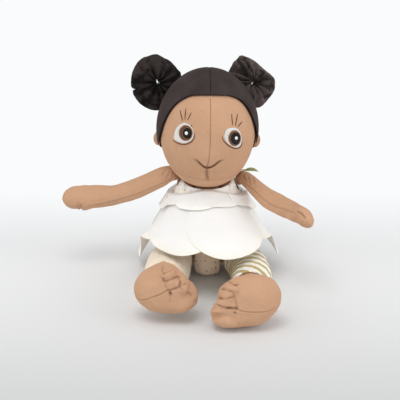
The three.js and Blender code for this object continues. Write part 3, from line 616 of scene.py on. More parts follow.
def cotton(name, colour, warm, thread=0.42, inks=(), spacing=0, sprig=0, ground=None, leaf=None):
    """Woven cotton with a thread in mm. Small sprigs, one scatter for each ink, are printed all over it."""
    dye = Dye(name, 0.9)
    dye.glowing(0.55, 2.5)
    woven = dye.maths("MAXIMUM", dye.bands(thread, "X", 1.2), dye.bands(thread, "Z", 1.2))
    slub = dye.clouds(160, 3, (1, 1, 0.2))
    tone = dye.mixed(dye.between(dye.clouds(24, 2), 0.35, 0.7), colour, warm)
    thick = dye.maths("MULTIPLY", dye.between(slub, 0.45, 0.75), 0.25)
    tone = dye.mixed(thick, tone, scaled(colour, 0.93))
    for k, ink in enumerate(inks):
        shift, turn = (0.013 * k, 0.007 * k, 0.011 * k), (0.4 * k, 0.3, 0.9 * k)
        where = dye.placed(Location=shift, Rotation=turn, Scale=(1, 1, 1.25))
        cells = dye.add("ShaderNodeTexVoronoi", Vector=where, Scale=1 / (spacing * MM), Randomness=0.75)
        reach = sprig * (1 - 0.16 * k) / spacing
        ragged = dye.maths("ADD", cells.outputs["Distance"], dye.maths("MULTIPLY", dye.clouds(700, 1), 0.05))
        drawn = dye.maths("SUBTRACT", 1.0, dye.between(ragged, reach, reach + 0.05))
        tone = dye.mixed(dye.maths("MULTIPLY", drawn, 0.8), tone, ink)
    if leaf:
        tone = dye.mixed(dye.read("leaf"), tone, leaf)
    # Painted shade where the fold attribute marks it, which on the petals is also the green of their edge
    # stitching
    stitching_and_shade = dye.maths("MULTIPLY", dye.read("fold"), 0.8)
    dye.coloured(dye.mixed(stitching_and_shade, tone, ground or scaled(warm, 0.55)))
    dye.bumped((woven, 0.12, 0.35), (slub, 0.3, 0.2))
    dye.sheen(0.1, colour)
    return dye.material


def jersey(name, colour, second=None):
    """Fine knitted jersey, plain or in stripes that go round the leg."""
    dye = Dye(name, 0.92)
    rib = dye.bands(0.8, "X", 2.0)
    fine = dye.clouds(600, 2)
    tone = dye.mixed(dye.between(dye.clouds(40, 2), 0.3, 0.7), colour, scaled(colour, 0.93))
    if second:
        wave = dye.maths("SINE", dye.maths("MULTIPLY", dye.read("stripe"), 2 * math.pi))
        wave = dye.maths("ADD", wave, dye.maths("MULTIPLY", dye.maths("SUBTRACT", fine, 0.5), 0.5))
        tone = dye.mixed(dye.between(wave, 0.12, 0.5), tone, second)
    # Painted shade where the fold attribute marks the gathers
    dye.coloured(dye.mixed(dye.maths("MULTIPLY", dye.read("fold"), 0.85), tone, scaled(colour, 0.4)))
    dye.bumped((rib, 0.2, 0.35), (fine, 0.3, 0.3))
    dye.sheen(0.15, colour)
    return dye.material


def thread(name, colour, dull, way="X", lay=0.4):
    """Satin stitches of thread laid side by side, with their pitch in mm."""
    dye = Dye(name, dull)
    laid = dye.bands(lay, way, 0.8)
    dye.coloured(dye.mixed(laid, scaled(colour, 0.78), colour))
    dye.bumped((laid, 0.15, 0.6))
    dye.sheen(0.15, colour)
    return dye.material


def dyed():
    """All the doll's materials, from the colours in the panel."""
    colours = bpy.context.scene.doll_colours
    skin, hair, dress = colours.skin[:], colours.hair[:], colours.dress[:]
    # Painted light and shade: both buns are the hair's velour, the right one painted darker for the shade it
    # lies in, the left one painted lighter where light falls on it
    right_bun = (scaled(hair, 0.4), scaled(hair, 0.2), scaled(hair, 1.1), 0.25, 1.5, 3.0)
    left_bun = (scaled(hair, 1.25), scaled(hair, 0.7), scaled(hair, 2.2), 0.5, 1.5, 2.5)
    bodice_inks = (linear(196, 142, 84), linear(150, 158, 118), linear(222, 178, 160))
    bloomers_inks = (linear(112, 120, 78), linear(206, 140, 122), linear(84, 66, 56))
    materials.update(
        skin=velour("skin_velour", skin, scaled(skin, 0.86), scaled(skin, 1.13), 0.25),
        hair=velour("hair_velour", scaled(hair, 0.68), scaled(hair, 0.4), scaled(hair, 1.3), 0.3, 1.3),
        right_bun=velour("right_bun_velour", *right_bun),
        left_bun=velour("left_bun_velour", *left_bun),
        white=thread("white_thread", linear(228, 228, 224), 0.4),
        iris=thread("iris_thread", linear(104, 66, 44), 0.4, "Z"),
        ring=thread("ring_thread", linear(176, 132, 96), 0.4, "Z"),
        pupil=thread("black_thread", linear(18, 15, 16), 0.35, "Z"),
        glint=thread("glint_thread", linear(252, 252, 252), 0.3),
        lash=thread("lash_thread", linear(104, 56, 44), 0.6, "Z", 0.3),
        seam=thread("seam_thread", linear(138, 92, 66), 0.7, "Z", 0.3),
        # The dress's fold tone is the green of the petals' edge stitching, and also their painted shade
        dress=cotton("dress_cotton", dress, scaled(dress, 0.975), ground=linear(222, 214, 170)),
        bodice=cotton("printed_cotton", dress, linear(246, 238, 230), 0.42, bodice_inks, 10.5, 1.15),
        bloomers=cotton(
            "bloomers_print", linear(240, 221, 199), linear(230, 208, 184), 0.42, bloomers_inks, 6.0, 1.0
        ),
        plain=jersey("plain_jersey", linear(244, 229, 208)),
        striped=jersey("striped_jersey", linear(246, 243, 232), linear(184, 166, 112)),
        ribbon=cotton("ribbon", dress, scaled(dress, 0.95), 0.3, leaf=linear(158, 163, 112)),
    )


# The head


def read_shares(shares, place):
    """Shares given at even places from 0 to 1, read smoothly at any place between."""
    last = len(shares) - 1
    at = min(max(place, 0), 1) * last
    low = min(int(at), last - 1)
    t = at - low
    a, b, c, d = (shares[min(max(k, 0), last)] for k in (low - 1, low, low + 1, low + 2))
    weights = (2 * t**3 - 3 * t**2 + 1, t**3 - 2 * t**2 + t, 3 * t**2 - 2 * t**3, t**3 - t**2)
    return sum(value * weight for value, weight in zip((b, (c - a) / 2, c, (d - b) / 2), weights))


def head_point(around, down, grow):
    """A place on the head grown by so many mm, in its own axes, by turns from the face and from the top."""
    low = max(0, -math.cos(down))
    wide = math.sin(down) ** (1 - (1 - JAW_FULLNESS) * low) if math.sin(down) > 1e-9 else 0
    form = (wide * math.sin(around), -wide * math.cos(around), math.cos(down))
    return Vector((HEAD_HALF + grow) * form)


def on_head(at):
    """A place in the head's own axes, carried to where the head is."""
    return HEAD_TURN @ Vector(at) + HEAD_AT


def head_level(at, grow):
    """Below 1 for places inside the head's form grown by so many mm, in the head's own axes."""
    return np.sqrt((((at / (HEAD_HALF + grow)) ** 2).sum(axis=1)))


def to_head_axes(at):
    return (at - np.array(HEAD_AT)) @ np.array(HEAD_TURN)


def from_head_axes(at):
    return at @ np.array(HEAD_TURN).T + np.array(HEAD_AT)


def seated_on_head(piece, grow):
    """Presses a soft piece flat where it would sink into the head or its hair."""
    at = to_head_axes(points(piece))
    level = head_level(at, grow)
    sunk = level < 1
    at[sunk] /= level[sunk][:, None]
    set_points(piece, from_head_axes(at))


# How creases are pulled in: width, depth, painted shade, swelling and fading, lengths in mm
BAND = (1.3, 2.6, 0.8, 0.9, 0.1)
ARM_SEAM = (0.9, 0.6, 0.3, 0.15, 0.03)
THUMB = (1.0, 1.6, 0.4, 0.4, 0.2)
ARM_FOLD = (0.9, 0.5, 0.2, 0.3, 0.3)
FOOT_SWELL = (0.3, 0.15)

# Seams and features of the face, as pixels of the photograph
CENTRE_SEAM = (
    (210.4, 97.5), (210.6, 115), (210.2, 130), (210.4, 140), (209.8, 152), (208.7, 160), (207.2, 167.2),
)
CHIN_CREASE = ((207.1, 167.0), (206.6, 172), (207, 176.5), (207.8, 181))
MOUTH = (
    (194.6, 160.4), (197.2, 161.2), (200.3, 164.1), (203.5, 166.8), (207.1, 168.1), (211.8, 167),
    (215.9, 164.4), (219.8, 161.5), (223.4, 160.6),
)
CHIN_SEAM = (
    (163, 155), (168, 163.5), (174.5, 169.8), (183.5, 175.2), (195, 178.2), (207.6, 180), (221, 179.2),
    (233.5, 175.8), (242, 169), (248, 160), (251.5, 151),
)
# Each crease's pixels and steps, and how it is pulled in, with its painted shade
HEAD_CREASES = (
    (CHIN_SEAM, 60, 1.0, 0.6, 0.14, 0.15, 0.05),
    (CENTRE_SEAM, 60, 0.8, 0.4, 0.05, 0.12, 0.02),
    (CHIN_CREASE, 16, 1.5, 2.2, 0.5, 0.5, 0.2),
    (MOUTH, 40, 1.25, 2.0, 0.62, 0.35, 0.16),
)
MUZZLE = (208.5, 155)
MUZZLE_RADIUS, MUZZLE_RISE = 9.5, 1.5
SCALP_EDGE = 1.5
SEAM_THREAD, MOUTH_THREAD, LASH_THREAD = 0.27, 0.5, 0.42


def make_head():
    head = sewn("stuffed_head", "head", voxel=3.0, rounding=4, levels=2, shrink=0.6, cap=1.1)
    surface = Surface(head)
    swollen(head, surface.seen(*MUZZLE)[0], MUZZLE_RADIUS, MUZZLE_RISE)
    for crease in HEAD_CREASES:
        creased(head, surface, *crease)
    at = to_head_axes(points(head)) / HEAD_HALF
    turns = np.arctan2(at[:, 0], -at[:, 1]) / math.pi
    edge = np.array([read_shares(HAIR_EDGE["left" if t > 0 else "right"], abs(t)) for t in turns]) * math.pi
    under = edge - np.arctan2(np.hypot(at[:, 0], at[:, 1]), at[:, 2])
    set_attribute(head, "scalp", np.clip(under * HEAD_HALF[2] / SCALP_EDGE, 0, 1))
    dressed(head, "skin", "head_group")
    surface = Surface(head)
    pitch = bpy.context.scene.doll_sizes.stitch / MM
    runs = stitches(*surface.path(CENTRE_SEAM, 90), pitch, 0.55 * pitch, SEAM_THREAD)
    threads("centre_stitches", runs, "seam", "head_group", 1)
    runs = [lying(*surface.path(MOUTH[1:-1], 24), MOUTH_THREAD, 0.9)]
    threads("mouth_thread", runs, "lash", "head_group")
    return surface


# The hair at its parting and its edge, in mm: how deep and how wide the cloth turns in, and its thickness
PARTING_DEEP, PARTING_WIDE = 0.35, 0.8
LIP_DEEP, LIP_WIDE = 0.72, 1.1
HEAD_RADIUS = 56
HAIR_CLOTH = 0.9
HAIR_GRID = (60, 44)


def make_hair():
    for side, way in SIDES.items():
        name = f"{side}_hair"
        bpy.ops.mesh.primitive_grid_add(x_subdivisions=HAIR_GRID[0], y_subdivisions=HAIR_GRID[1], size=2)
        cap = made(f"{name}_velour")
        moved = []
        for x, y, _ in points(cap) * MM:
            half, high = (x + 1) / 2, (y + 1) / 2
            edge = read_shares(HAIR_EDGE[side], half) * math.pi
            down = edge * (1 - high)
            place = head_point(half * math.pi, down, SEAM_GAP + VELOUR)
            gap = SEAM_GAP / 6
            inset = PARTING_DEEP * bump(place.x - gap, PARTING_WIDE)
            lip = LIP_DEEP * bump((edge - down) * HEAD_RADIUS, LIP_WIDE)
            place -= Vector(np.array(place) / HEAD_HALF**2).normalized() * max(inset, lip)
            place.x = way * max(place.x, gap)
            moved.append(on_head(place))
        set_points(cap, np.array(moved))
        edited(cap, MERGED, FACED_OUT)
        if (to_head_axes(points(cap)) * (outward(cap) @ np.array(HEAD_TURN))).sum() < 0:
            edited(cap, TURNED_OVER)
        finished(cap, "SOLIDIFY", thickness=HAIR_CLOTH * MM, offset=-1, use_quality_normals=True)
        subdivided(cap, 1)
        smooth_shaded(cap)
        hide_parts(f"{name}_cap")
        dressed(cap, "hair", "head_group")


# The ears: half sizes, place on the head, and how deep their cup is, in mm
EAR_HALF = np.array((5.4, 5.0, 7.6))
EAR_AT = np.array((50.7, 2, -12))
EAR_CUP = 1.6


def make_ears():
    for side, way in SIDES.items():
        name = f"{side}_ear"
        bpy.ops.mesh.primitive_uv_sphere_add(segments=36, ring_count=24, radius=1)
        ear = made(f"{name}_cloth")
        at = points(ear) * MM
        cup = bump(at[:, 1] + 0.55, 0.45) * bump(at[:, 2], 0.55) * (at[:, 0] * way > 0)
        at = at * EAR_HALF + EAR_AT * (way, 1, 1)
        at[:, 1] += cup * EAR_CUP
        set_points(ear, from_head_axes(at))
        seated_on_head(ear, SEAM_GAP + 0.15)
        at = to_head_axes(points(ear))
        smooth_shaded(ear)
        # Painted shade in the cup and where the ear meets the head
        shaded(ear, (bump(np.abs(at[:, 0]) - HEAD_HALF[0], 1.6) + cup) * 0.35)
        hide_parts(name)
        dressed(ear, "skin", "head_group")


# Each eye, as pixels: the white's outline, the middle and half sizes of iris, pupil and glint
EYES = {
    "right": {
        "white": (
            (173.2, 139.3), (174.3, 133), (175.7, 129), (178.8, 125.3), (184, 122.7), (189.2, 124.4),
            (192.4, 128), (193.7, 132.8), (193.3, 137.5), (190.6, 141.2), (184.3, 143.4), (177.4, 141.9),
        ),
        "iris": (186.0, 133.0, 6.7, 7.7), "pupil": (187.2, 133.3, 4.9, 5.8),
        "glint": (186.8, 133.0, 1.7, 2.0),
        "edge": ((173.0, 139.8), (177.2, 142.9), (184.2, 144.4), (190.9, 142.2), (194.2, 137.8),
                 (194.8, 133)),
        "lashes": (
            ((182.9, 120.9), (181.4, 116), (180.1, 110.1)), ((185, 119.9), (185.3, 115), (186, 108.2)),
            ((187.6, 120.3), (189.4, 116.6), (191.5, 112.7)), ((191.2, 125.0), (191.8, 126.6)),
        ),
    },
    "left": {
        "white": (
            (223.7, 136.6), (226.2, 129.6), (229.4, 128), (233, 127.5), (236.9, 128.3), (240, 132),
            (241.4, 139), (240.4, 145.3), (235.4, 147.6), (228.6, 144.4), (225.1, 140.4),
        ),
        "iris": (234.4, 138.2, 6.0, 7.7), "pupil": (235.4, 138.5, 4.9, 6.3),
        "glint": (235.7, 137.8, 1.6, 1.8),
        "edge": ((221.9, 136.0), (223.6, 140.8), (228.6, 145.6), (235.2, 148.6), (240.6, 146.4),
                 (242.0, 141)),
        "lashes": (
            ((232.7, 125.3), (232, 120), (231.5, 113.8)), ((235.2, 125.9), (236.3, 120), (237.5, 113.8)),
            ((237.8, 126.6), (239.8, 124.3), (241.9, 121.9)),
        ),
    },
}


# How many places each ring of an eye has, and how far thread stands off the face, in mm
EYE_PLACES, GLINT_PLACES = 48, 24
THREAD_LOW = 0.06
TURNS = [2 * math.pi * k / EYE_PLACES for k in range(EYE_PLACES)]


def oval_pixels(oval, more=0.0, count=EYE_PLACES):
    """Places on an oval made larger by so many pixels."""
    x, y, across, up = oval
    turns = [2 * math.pi * k / count for k in range(count)]
    return [(x + (across + more) * math.cos(t), y - (up + more) * math.sin(t)) for t in turns]


def round_pixels(knots, middle):
    """The outline read at even turns about a middle, so that rings of any outline match."""
    loop = through([*knots, knots[0]], 240)
    x, y = middle
    turns = np.arctan2(y - loop[:, 1], loop[:, 0] - x) % (2 * math.pi)
    order = np.argsort(turns)
    reach = np.hypot(loop[:, 0] - x, loop[:, 1] - y)
    far = np.interp(TURNS, turns[order], reach[order], period=2 * math.pi)
    return [(x + r * math.cos(t), y - r * math.sin(t)) for r, t in zip(far, TURNS)]


def embroidered(name, surface, outer, inner, low, high, dye, rings=7):
    """A low pad of thread on the face between two outlines, or over a whole outline."""
    count = len(outer)
    middle = np.mean(outer, axis=0)
    inside = inner or [middle] * count
    verts, faces, layers = [], [], []
    for k in range(rings + 1):
        share = k / rings
        edge = 2 * share - 1 if inner else share
        layers.append((share, low + (high - low) * math.sqrt(max(0, 1 - abs(edge) ** 4))))
    layers += [(share, low) for share, _ in reversed(layers[1:-1] if inner else layers[:-1])]
    for share, rise in layers:
        for (x0, y0), (x1, y1) in zip(inside, outer):
            at, out = surface.seen(x0 + (x1 - x0) * share, y0 + (y1 - y0) * share)
            verts.append(tuple((at + out * rise) * MM))
    total = len(layers)
    for k in range(total if inner else total - 1):
        for j in range(count):
            a, b = k * count, ((k + 1) % total) * count
            faces.append((a + j, a + (j + 1) % count, b + (j + 1) % count, b + j))
    mesh = bpy.data.meshes.new(name)
    mesh.from_pydata(verts, [], faces)
    pad = edited(linked(name, mesh), MERGED, FACED_OUT)
    subdivided(pad, 1)
    smooth_shaded(pad)
    return dressed(pad, dye, "head_group")


def make_eyes(surface):
    for side, eye in EYES.items():
        iris, pupil = eye["iris"], eye["pupil"]
        middle = iris[:2]
        around_iris = oval_pixels(iris, 0.1)
        white = []
        for turn, seen, free in zip(TURNS, round_pixels(eye["white"], middle), around_iris):
            if math.dist(seen, middle) <= math.dist(free, middle) + 0.35:
                seen = (free[0] + 0.5 * math.cos(turn), free[1] - 0.5 * math.sin(turn))
            white.append(seen)
        pad = embroidered(
            f"{side}_eye_white_thread", surface, white, around_iris, THREAD_LOW, 0.75,
            "white",
        )
        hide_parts(f"{side}_eye_white")
        pad = embroidered(
            f"{side}_iris_thread", surface, oval_pixels(iris, -0.85), oval_pixels(pupil, 0.1),
            THREAD_LOW, 0.95, "iris",
        )
        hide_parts(f"{side}_iris")
        embroidered(
            f"{side}_iris_rim", surface, oval_pixels(iris), oval_pixels(iris, -0.8), THREAD_LOW, 0.9,
            "ring", 3,
        )
        pad = embroidered(
            f"{side}_pupil_thread", surface, oval_pixels(pupil), None, THREAD_LOW, 1.15,
            "pupil",
        )
        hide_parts(f"{side}_pupil")
        embroidered(
            f"{side}_glint", surface, oval_pixels(eye["glint"], count=GLINT_PLACES), None, 1.2, 1.5,
            "glint", 3,
        )
        lashes = [(eye["edge"], 30), *((lash, 9) for lash in eye["lashes"])]
        runs = [lying(*surface.path(pixels, steps), LASH_THREAD) for pixels, steps in lashes]
        threads(f"{side}_lashes", runs, "lash", "head_group")


# The buns: gathered hoops, each with its place, flop and turn on the head
BUNS = {
    "right": {
        "place": (-0.855, 0.42, 0.685), "flop": 8, "turn": 10, "seed": 2, "hole": (157.3, 82),
        "band": ((131, 92), (138, 91), (143, 96), (149, 102), (158, 105), (170, 104)),
        "outline": (
            (180.7, 72.5), (171, 61.7), (163.4, 57.4), (155.8, 54.1), (147.1, 56.3), (141.7, 58.4),
            (136.3, 63.9), (131.9, 73.6), (130.8, 84.5), (133, 89.9), (133.6, 95.3), (141.7, 105.1),
            (154.7, 110.5), (168, 107), (178, 98), (182.5, 85),
        ),
    },
    "left": {
        "place": (0.742, 0.355, 0.71), "flop": 38, "turn": -12, "seed": 5, "hole": (251.5, 83),
        "band": ((236.5, 58), (241, 63.5), (246.5, 69), (252.3, 76), (261, 80), (273, 79)),
        "outline": (
            (228.5, 71.5), (233.9, 61.7), (237.7, 58.4), (241.5, 55.4), (253.4, 60.2), (264.3, 69.3),
            (274, 78), (275, 86), (274, 91), (269.7, 97.5), (259.9, 107.2), (248, 106), (237, 97),
            (230, 85),
        ),
    },
}
BUN_RADIUS = 27
TUBE_ACROSS, TUBE_DEEP = 12.1, 10.5
PLEATS = 11
SMALL_FOLDS, CRUMPLES = 1.1, 2.1


def hoop_ripple(turn, angle, wide, long, seed):
    """Unevenness over a hoop, by how fine it is round the ring and round the cloth."""
    return ripple(np.stack([np.cos(turn) * wide, np.sin(turn) * wide, angle * long], axis=1), 1.0, seed)


def make_buns():
    pleats_in = bpy.context.scene.doll_sizes.pleat / MM
    for side, bun in BUNS.items():
        bpy.ops.mesh.primitive_torus_add(
            major_segments=264, minor_segments=48, major_radius=1, minor_radius=0.4
        )
        hoop = made(f"{side}_bun_velour")
        at = points(hoop) * MM
        turn = np.arctan2(at[:, 1], at[:, 0])
        angle = np.arctan2(at[:, 2], np.hypot(at[:, 0], at[:, 1]) - 1)
        seed = bun["seed"]
        drift = hoop_ripple(turn, angle, 1.3, 0, seed) + 0.25 * hoop_ripple(turn, angle, 3.1, 0, seed + 4)
        uneven = np.clip(0.95 + 1.1 * hoop_ripple(turn, angle, 2.1, 0, seed + 1), 0.15, 1.7)
        wave = np.cos(PLEATS * (turn + drift * 0.4) + 0.9 * np.sin(angle))
        fold = np.sign(wave) * np.abs(wave) ** 0.9
        small = hoop_ripple(turn, angle, 5, 0.7, seed + 2)
        crumple = hoop_ripple(turn, angle, 2.86, 1.17, seed + 3)
        toward_hole = 0.5 - 0.5 * np.cos(angle)
        depth = pleats_in * uneven * (0.75 + 0.75 * toward_hole)
        pleat = depth * fold + SMALL_FOLDS * small + CRUMPLES * crumple - 0.6 * depth
        valley = np.clip(-fold, 0, 1) ** 2 * (0.35 + 0.65 * toward_hole)
        # The ring's own oval, laid on the head with its pleats before it takes the outline in the photograph
        across = TUBE_ACROSS + pleat * (0.35 + 0.65 * np.clip(0.4 + np.cos(angle), 0, 1))
        deep = TUBE_DEEP + pleat
        reach = BUN_RADIUS - TUBE_ACROSS - pleats_in + across * np.cos(angle)
        shape = np.stack([reach * np.cos(turn), deep * np.sin(angle), reach * np.sin(turn)], axis=1)
        where = Vector(bun["place"]) * HEAD_HALF[2]
        lean = Matrix.Rotation(math.atan2(where.z, where.x), 3, "Y")
        swing = Matrix.Rotation(math.radians(bun["turn"]), 3, "Z")
        hinge = Vector((-where.z, 0, where.x)).normalized()
        flop = Matrix.Rotation(math.radians(bun["flop"]), 3, hinge)
        turned = np.array(flop @ swing @ lean)
        set_points(hoop, from_head_axes(shape @ turned.T + np.array(where)))
        fitted(hoop, bun["outline"], bun["hole"])
        # Painted shade in the pleats' valleys and the crumples' hollows
        shaded(hoop, valley * 0.75 + np.clip(-crumple, 0, 1) * 0.5)
        creased(hoop, Surface(hoop), bun["band"], 40, *BAND)
        fitted(hoop, bun["outline"], bun["hole"])
        seated_on_head(hoop, SEAM_GAP + VELOUR + 0.35)
        edited(hoop, MERGED, FACED_OUT)
        smooth_shaded(hoop)
        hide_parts(f"{side}_bun")
        dressed(hoop, f"{side}_bun", "head_group")


# Body, arms, legs and feet


def make_body():
    for name, node, body, voxel in (
        ("stuffed_body", "body", "torso", 2.5),
        ("stuffed_neck", "neck", "neck_post", 1.5),
    ):
        piece = sewn(name, node, voxel, rounding=3, levels=1, shrink=0.9)
        dressed(piece, "skin", body)
    for joint in ("shoulder", "hip"):
        for side in SIDES:
            name, node = f"{side}_{joint}_cloth", f"{side}_{joint}_gather"
            gather = sewn(name, node, voxel=0.6, rounding=1, shrink=0.5)
            dressed(gather, "skin", f"{side}_{joint}")


# Each arm's seam and the line of its thumb, as pixels
ARM_SEAMS = {
    "right": (
        (
            (176, 176), (164.7, 181.4), (151, 187.6), (136.3, 193.6), (121, 198.2), (104, 202.4), (91, 205),
            (84, 206.4),
        ),
        ((79.2, 211), (79.8, 207), (81.4, 203.4)),
    ),
    "left": (
        (
            (241.5, 180.5), (248.9, 186.5), (257.3, 193.6), (265.7, 201.3), (274.2, 206.3), (285.7, 210),
            (296, 214),
        ),
        ((296, 211), (301, 213.5), (306, 219)),
    ),
}
# Short folds where each arm meets the dress, as pixels
ARM_FOLDS = {
    "right": (((168, 172), (165, 178)), ((164, 171), (161, 175.5)), ((172.5, 171), (170.5, 177))),
    "left": (((243, 175), (247, 182)), ((247, 175.5), (251, 184)), ((252.5, 177.5), (254.5, 184.5))),
}
# Each arm's start and end, and its upper and lower edge, as pixels
ARM_EDGES = {
    "right": (
        (172, 173), (62, 198.2),
        ((185, 165), (170, 165.5), (158, 168), (141, 175.5), (115, 185), (98, 184.8), (79, 185.4),
         (71, 187), (66, 190), (63.3, 193.5), (62, 198)),
        ((190, 180), (173, 181), (163, 187), (137, 199), (115, 205), (93.8, 208.5), (84, 210.6),
         (80.2, 208.4), (76.5, 209), (70.5, 208.4), (66, 206), (63.3, 202.5), (62, 198.4)),
    ),
    "left": (
        (240, 174), (313.6, 224.6),
        ((236, 168), (242.5, 170.6), (251, 173.6), (269, 187.6), (284, 195.7), (299, 203.8), (307, 208.6),
         (311.5, 213.5), (314, 219.5), (313.8, 224.2)),
        ((230, 174), (238, 181), (250, 193.5), (264, 207.5), (283, 217.5), (297, 223.5), (303, 227),
         (308, 228.4), (311.5, 227.4), (313.6, 225)),
    ),
}
# How uneven the arm is, in mm
ARM_UNEVEN = 0.35


def make_arms():
    for side in SIDES:
        name, node = f"{side}_arm_velour", f"{side}_arm"
        arm = sewn(name, node, voxel=2.2, rounding=4, levels=2, shrink=0.35, cap=0.6)
        fitted_along(arm, *ARM_EDGES[side])
        surface = Surface(arm)
        seam, thumb = ARM_SEAMS[side]
        creased(arm, surface, seam, 60, *ARM_SEAM)
        creased(arm, surface, thumb, 16, *THUMB)
        for fold in ARM_FOLDS[side]:
            creased(arm, surface, fold, 8, *ARM_FOLD)
        pushed(arm, ARM_UNEVEN * ripple(points(arm), 0.09, 4))
        dressed(arm, "skin", None)
        at = points(arm)
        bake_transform(arm)


# Creases of the feet as pixels, with width, depth and painted shade
FEET = {
    "right": (
        (((162.6, 274.2), (167, 272.3), (173.4, 269.8)), 1.0, 1.5, 0.45),
        (((162.9, 278.4), (165.5, 281.4), (171, 279.3), (177.6, 276.8), (180.5, 276.8)), 1.0, 1.7, 0.5),
        (((167.1, 290.5), (174.5, 288.9), (179.2, 286), (180.2, 281.5)), 1.0, 1.5, 0.45),
        (((162.8, 265.5), (162.2, 270), (163, 274)), 0.9, 0.8, 0.25),
        (((177.6, 276.8), (180.2, 282.1), (179.4, 286.3), (181.5, 289), (187, 292), (192.3, 296)),
         0.9, 1.2, 0.35),
        (((180.8, 286.3), (183.8, 284.8), (187.1, 282.1)), 0.9, 1.3, 0.35),
        (((169.4, 291.2), (170.2, 293), (170.8, 295)), 1.3, 2.4, 0.95),
        (((135.5, 297.5), (141.8, 300.4), (151.3, 298), (159.7, 294.8), (167.1, 291), (170, 290)),
         0.7, 0.8, 0.26),
        (((170, 295), (170.2, 299), (170.2, 302.5)), 1.2, 0.7, 0.12),
        (((163, 279), (164.5, 284), (167.2, 290)), 1.0, 0.7, 0.12),
    ),
    "left": (
        (((228.1, 281), (231.5, 283.4), (234.6, 285.3), (238.9, 283.2)), 1.0, 1.6, 0.45),
        (((234.2, 284.6), (236.4, 285.6)), 1.2, 1.6, 0.7),
        (((221, 288.2), (226, 290), (232.3, 291.6)), 1.0, 1.6, 0.5),
        (((217.4, 297.6), (223.9, 298.8), (229, 298), (233.9, 297.4)), 1.0, 1.8, 0.5),
        (((215.6, 304.4), (222.9, 306.8), (229, 307.6), (236, 308.9)), 1.0, 2.0, 0.55),
        (((235.2, 308.2), (237, 309.4)), 1.3, 1.8, 0.75),
        (((234.4, 312), (235.2, 313.6)), 0.9, 1.4, 0.75),
        (((236.5, 309.5), (243.9, 311.7), (254.4, 312.6), (267.1, 311.6), (280.4, 305)), 0.7, 0.8, 0.26),
        (((233, 292), (234, 297.4), (236, 303), (236.8, 308.4)), 1.1, 0.9, 0.15),
    ),
}
# Each foot's middle and outline, as pixels
FOOT_OUTLINES = {
    "right": ((166, 290), (
        (163.9, 261), (155.5, 264.2), (143.9, 270.5), (136.6, 278.9), (133.9, 287.4), (135.5, 296.8),
        (140.8, 304.2), (150.3, 310.5), (161.8, 313.1), (175.5, 313.7), (187.1, 311.6), (196.6, 303.1),
        (197.8, 292.6), (194.2, 284.6), (188.9, 279.6), (183.4, 273.6), (173.4, 265.0),
    )),
    "left": ((246, 300), (
        (235.5, 276.8), (249.2, 274.7), (261.8, 274.7), (272.3, 278.9), (278.6, 286.3), (281.3, 294.7),
        (279.7, 305.2), (273.4, 314.7), (260.8, 324.2), (240.8, 327.3), (224.5, 327.9), (215.4, 324.2),
        (211.2, 317.8), (211.0, 311.2), (213.2, 305.8), (216.3, 301.2), (218.1, 292.6), (221.3, 286.3),
        (228.1, 281),
    )),
}
# Middles of the toes, as pixels, and how wide and high each toe swells, in mm
TOES = {
    "right": ((169.5, 275.3), (171.5, 284), (185, 290.5), (174, 272)),
    "left": ((228.5, 286), (225.5, 294.3), (224.5, 302.6), (224, 316)),
}
TOE_RADIUS, TOE_RISE = 4.6, 1.3


def make_legs():
    for side in SIDES:
        leg = sewn(f"{side}_leg_velour", f"{side}_leg", voxel=2.6, rounding=3, levels=1)
        dressed(leg, "skin", f"{side}_leg_group")
        name, node = f"{side}_foot_velour", f"{side}_foot"
        foot = sewn(name, node, voxel=2.0, rounding=8, levels=2, shrink=0.3, cap=0.5)
        middle, outline = FOOT_OUTLINES[side]
        fitted(foot, outline, middle)
        smoothed(foot, 5)
        surface = Surface(foot)
        for toe in TOES[side]:
            swollen(foot, surface.seen(*toe)[0], TOE_RADIUS, TOE_RISE)
        for pixels, width, depth, dark in FEET[side]:
            creased(foot, surface, pixels, 24, width, depth, dark, *FOOT_SWELL)
        fitted(foot, outline, middle)
        dressed(foot, "skin", f"{side}_leg_group")


# The gathers of a legging, in mm: their middle, how far they reach, and the radius that they go round at
GATHER_AT = (15.0, -78.0)
GATHER_REACH, GATHER_ROUND = 24, 34
GATHER_DEEP, JERSEY_UNEVEN = 0.35, 0.25
INNER_BULGE = 5


def make_leggings():
    stripe = bpy.context.scene.doll_sizes.stripe / MM
    for side, dye, slot in (
        ("right", "plain", "plain_jersey"),
        ("left", "striped", "striped_jersey"),
    ):
        sleeve = sewn(f"{side}_legging_jersey", f"{side}_legging", voxel=1.1, rounding=3, levels=1)
        at = points(sleeve)
        flat = at[:, :2] - np.array(GATHER_AT) * (SIDES[side], 1)
        turn = np.arctan2(-flat[:, 1], flat[:, 0] * SIDES[side] + 9)
        near = bump(np.linalg.norm(flat, axis=1), GATHER_REACH)
        rounds = turn * GATHER_ROUND / stripe
        wave = np.cos(rounds * 2 * math.pi)
        set_attribute(sleeve, "stripe", rounds)
        if side == "right":
            inner = np.clip(outward(sleeve)[:, 0] * 1.5, 0, 1)
            at[:, 0] += INNER_BULGE * inner * bump(at[:, 1] + 72, 24)
        gather = wave * GATHER_DEEP * near + JERSEY_UNEVEN * ripple(at, 0.12, 3)
        set_points(sleeve, at + outward(sleeve) * gather[:, None])
        # Painted shade in the hollows of the gathers
        shaded(sleeve, near * np.clip(-wave, 0, 1) * 0.25)
        dressed(sleeve, dye, f"{side}_leg_group")


# The dress

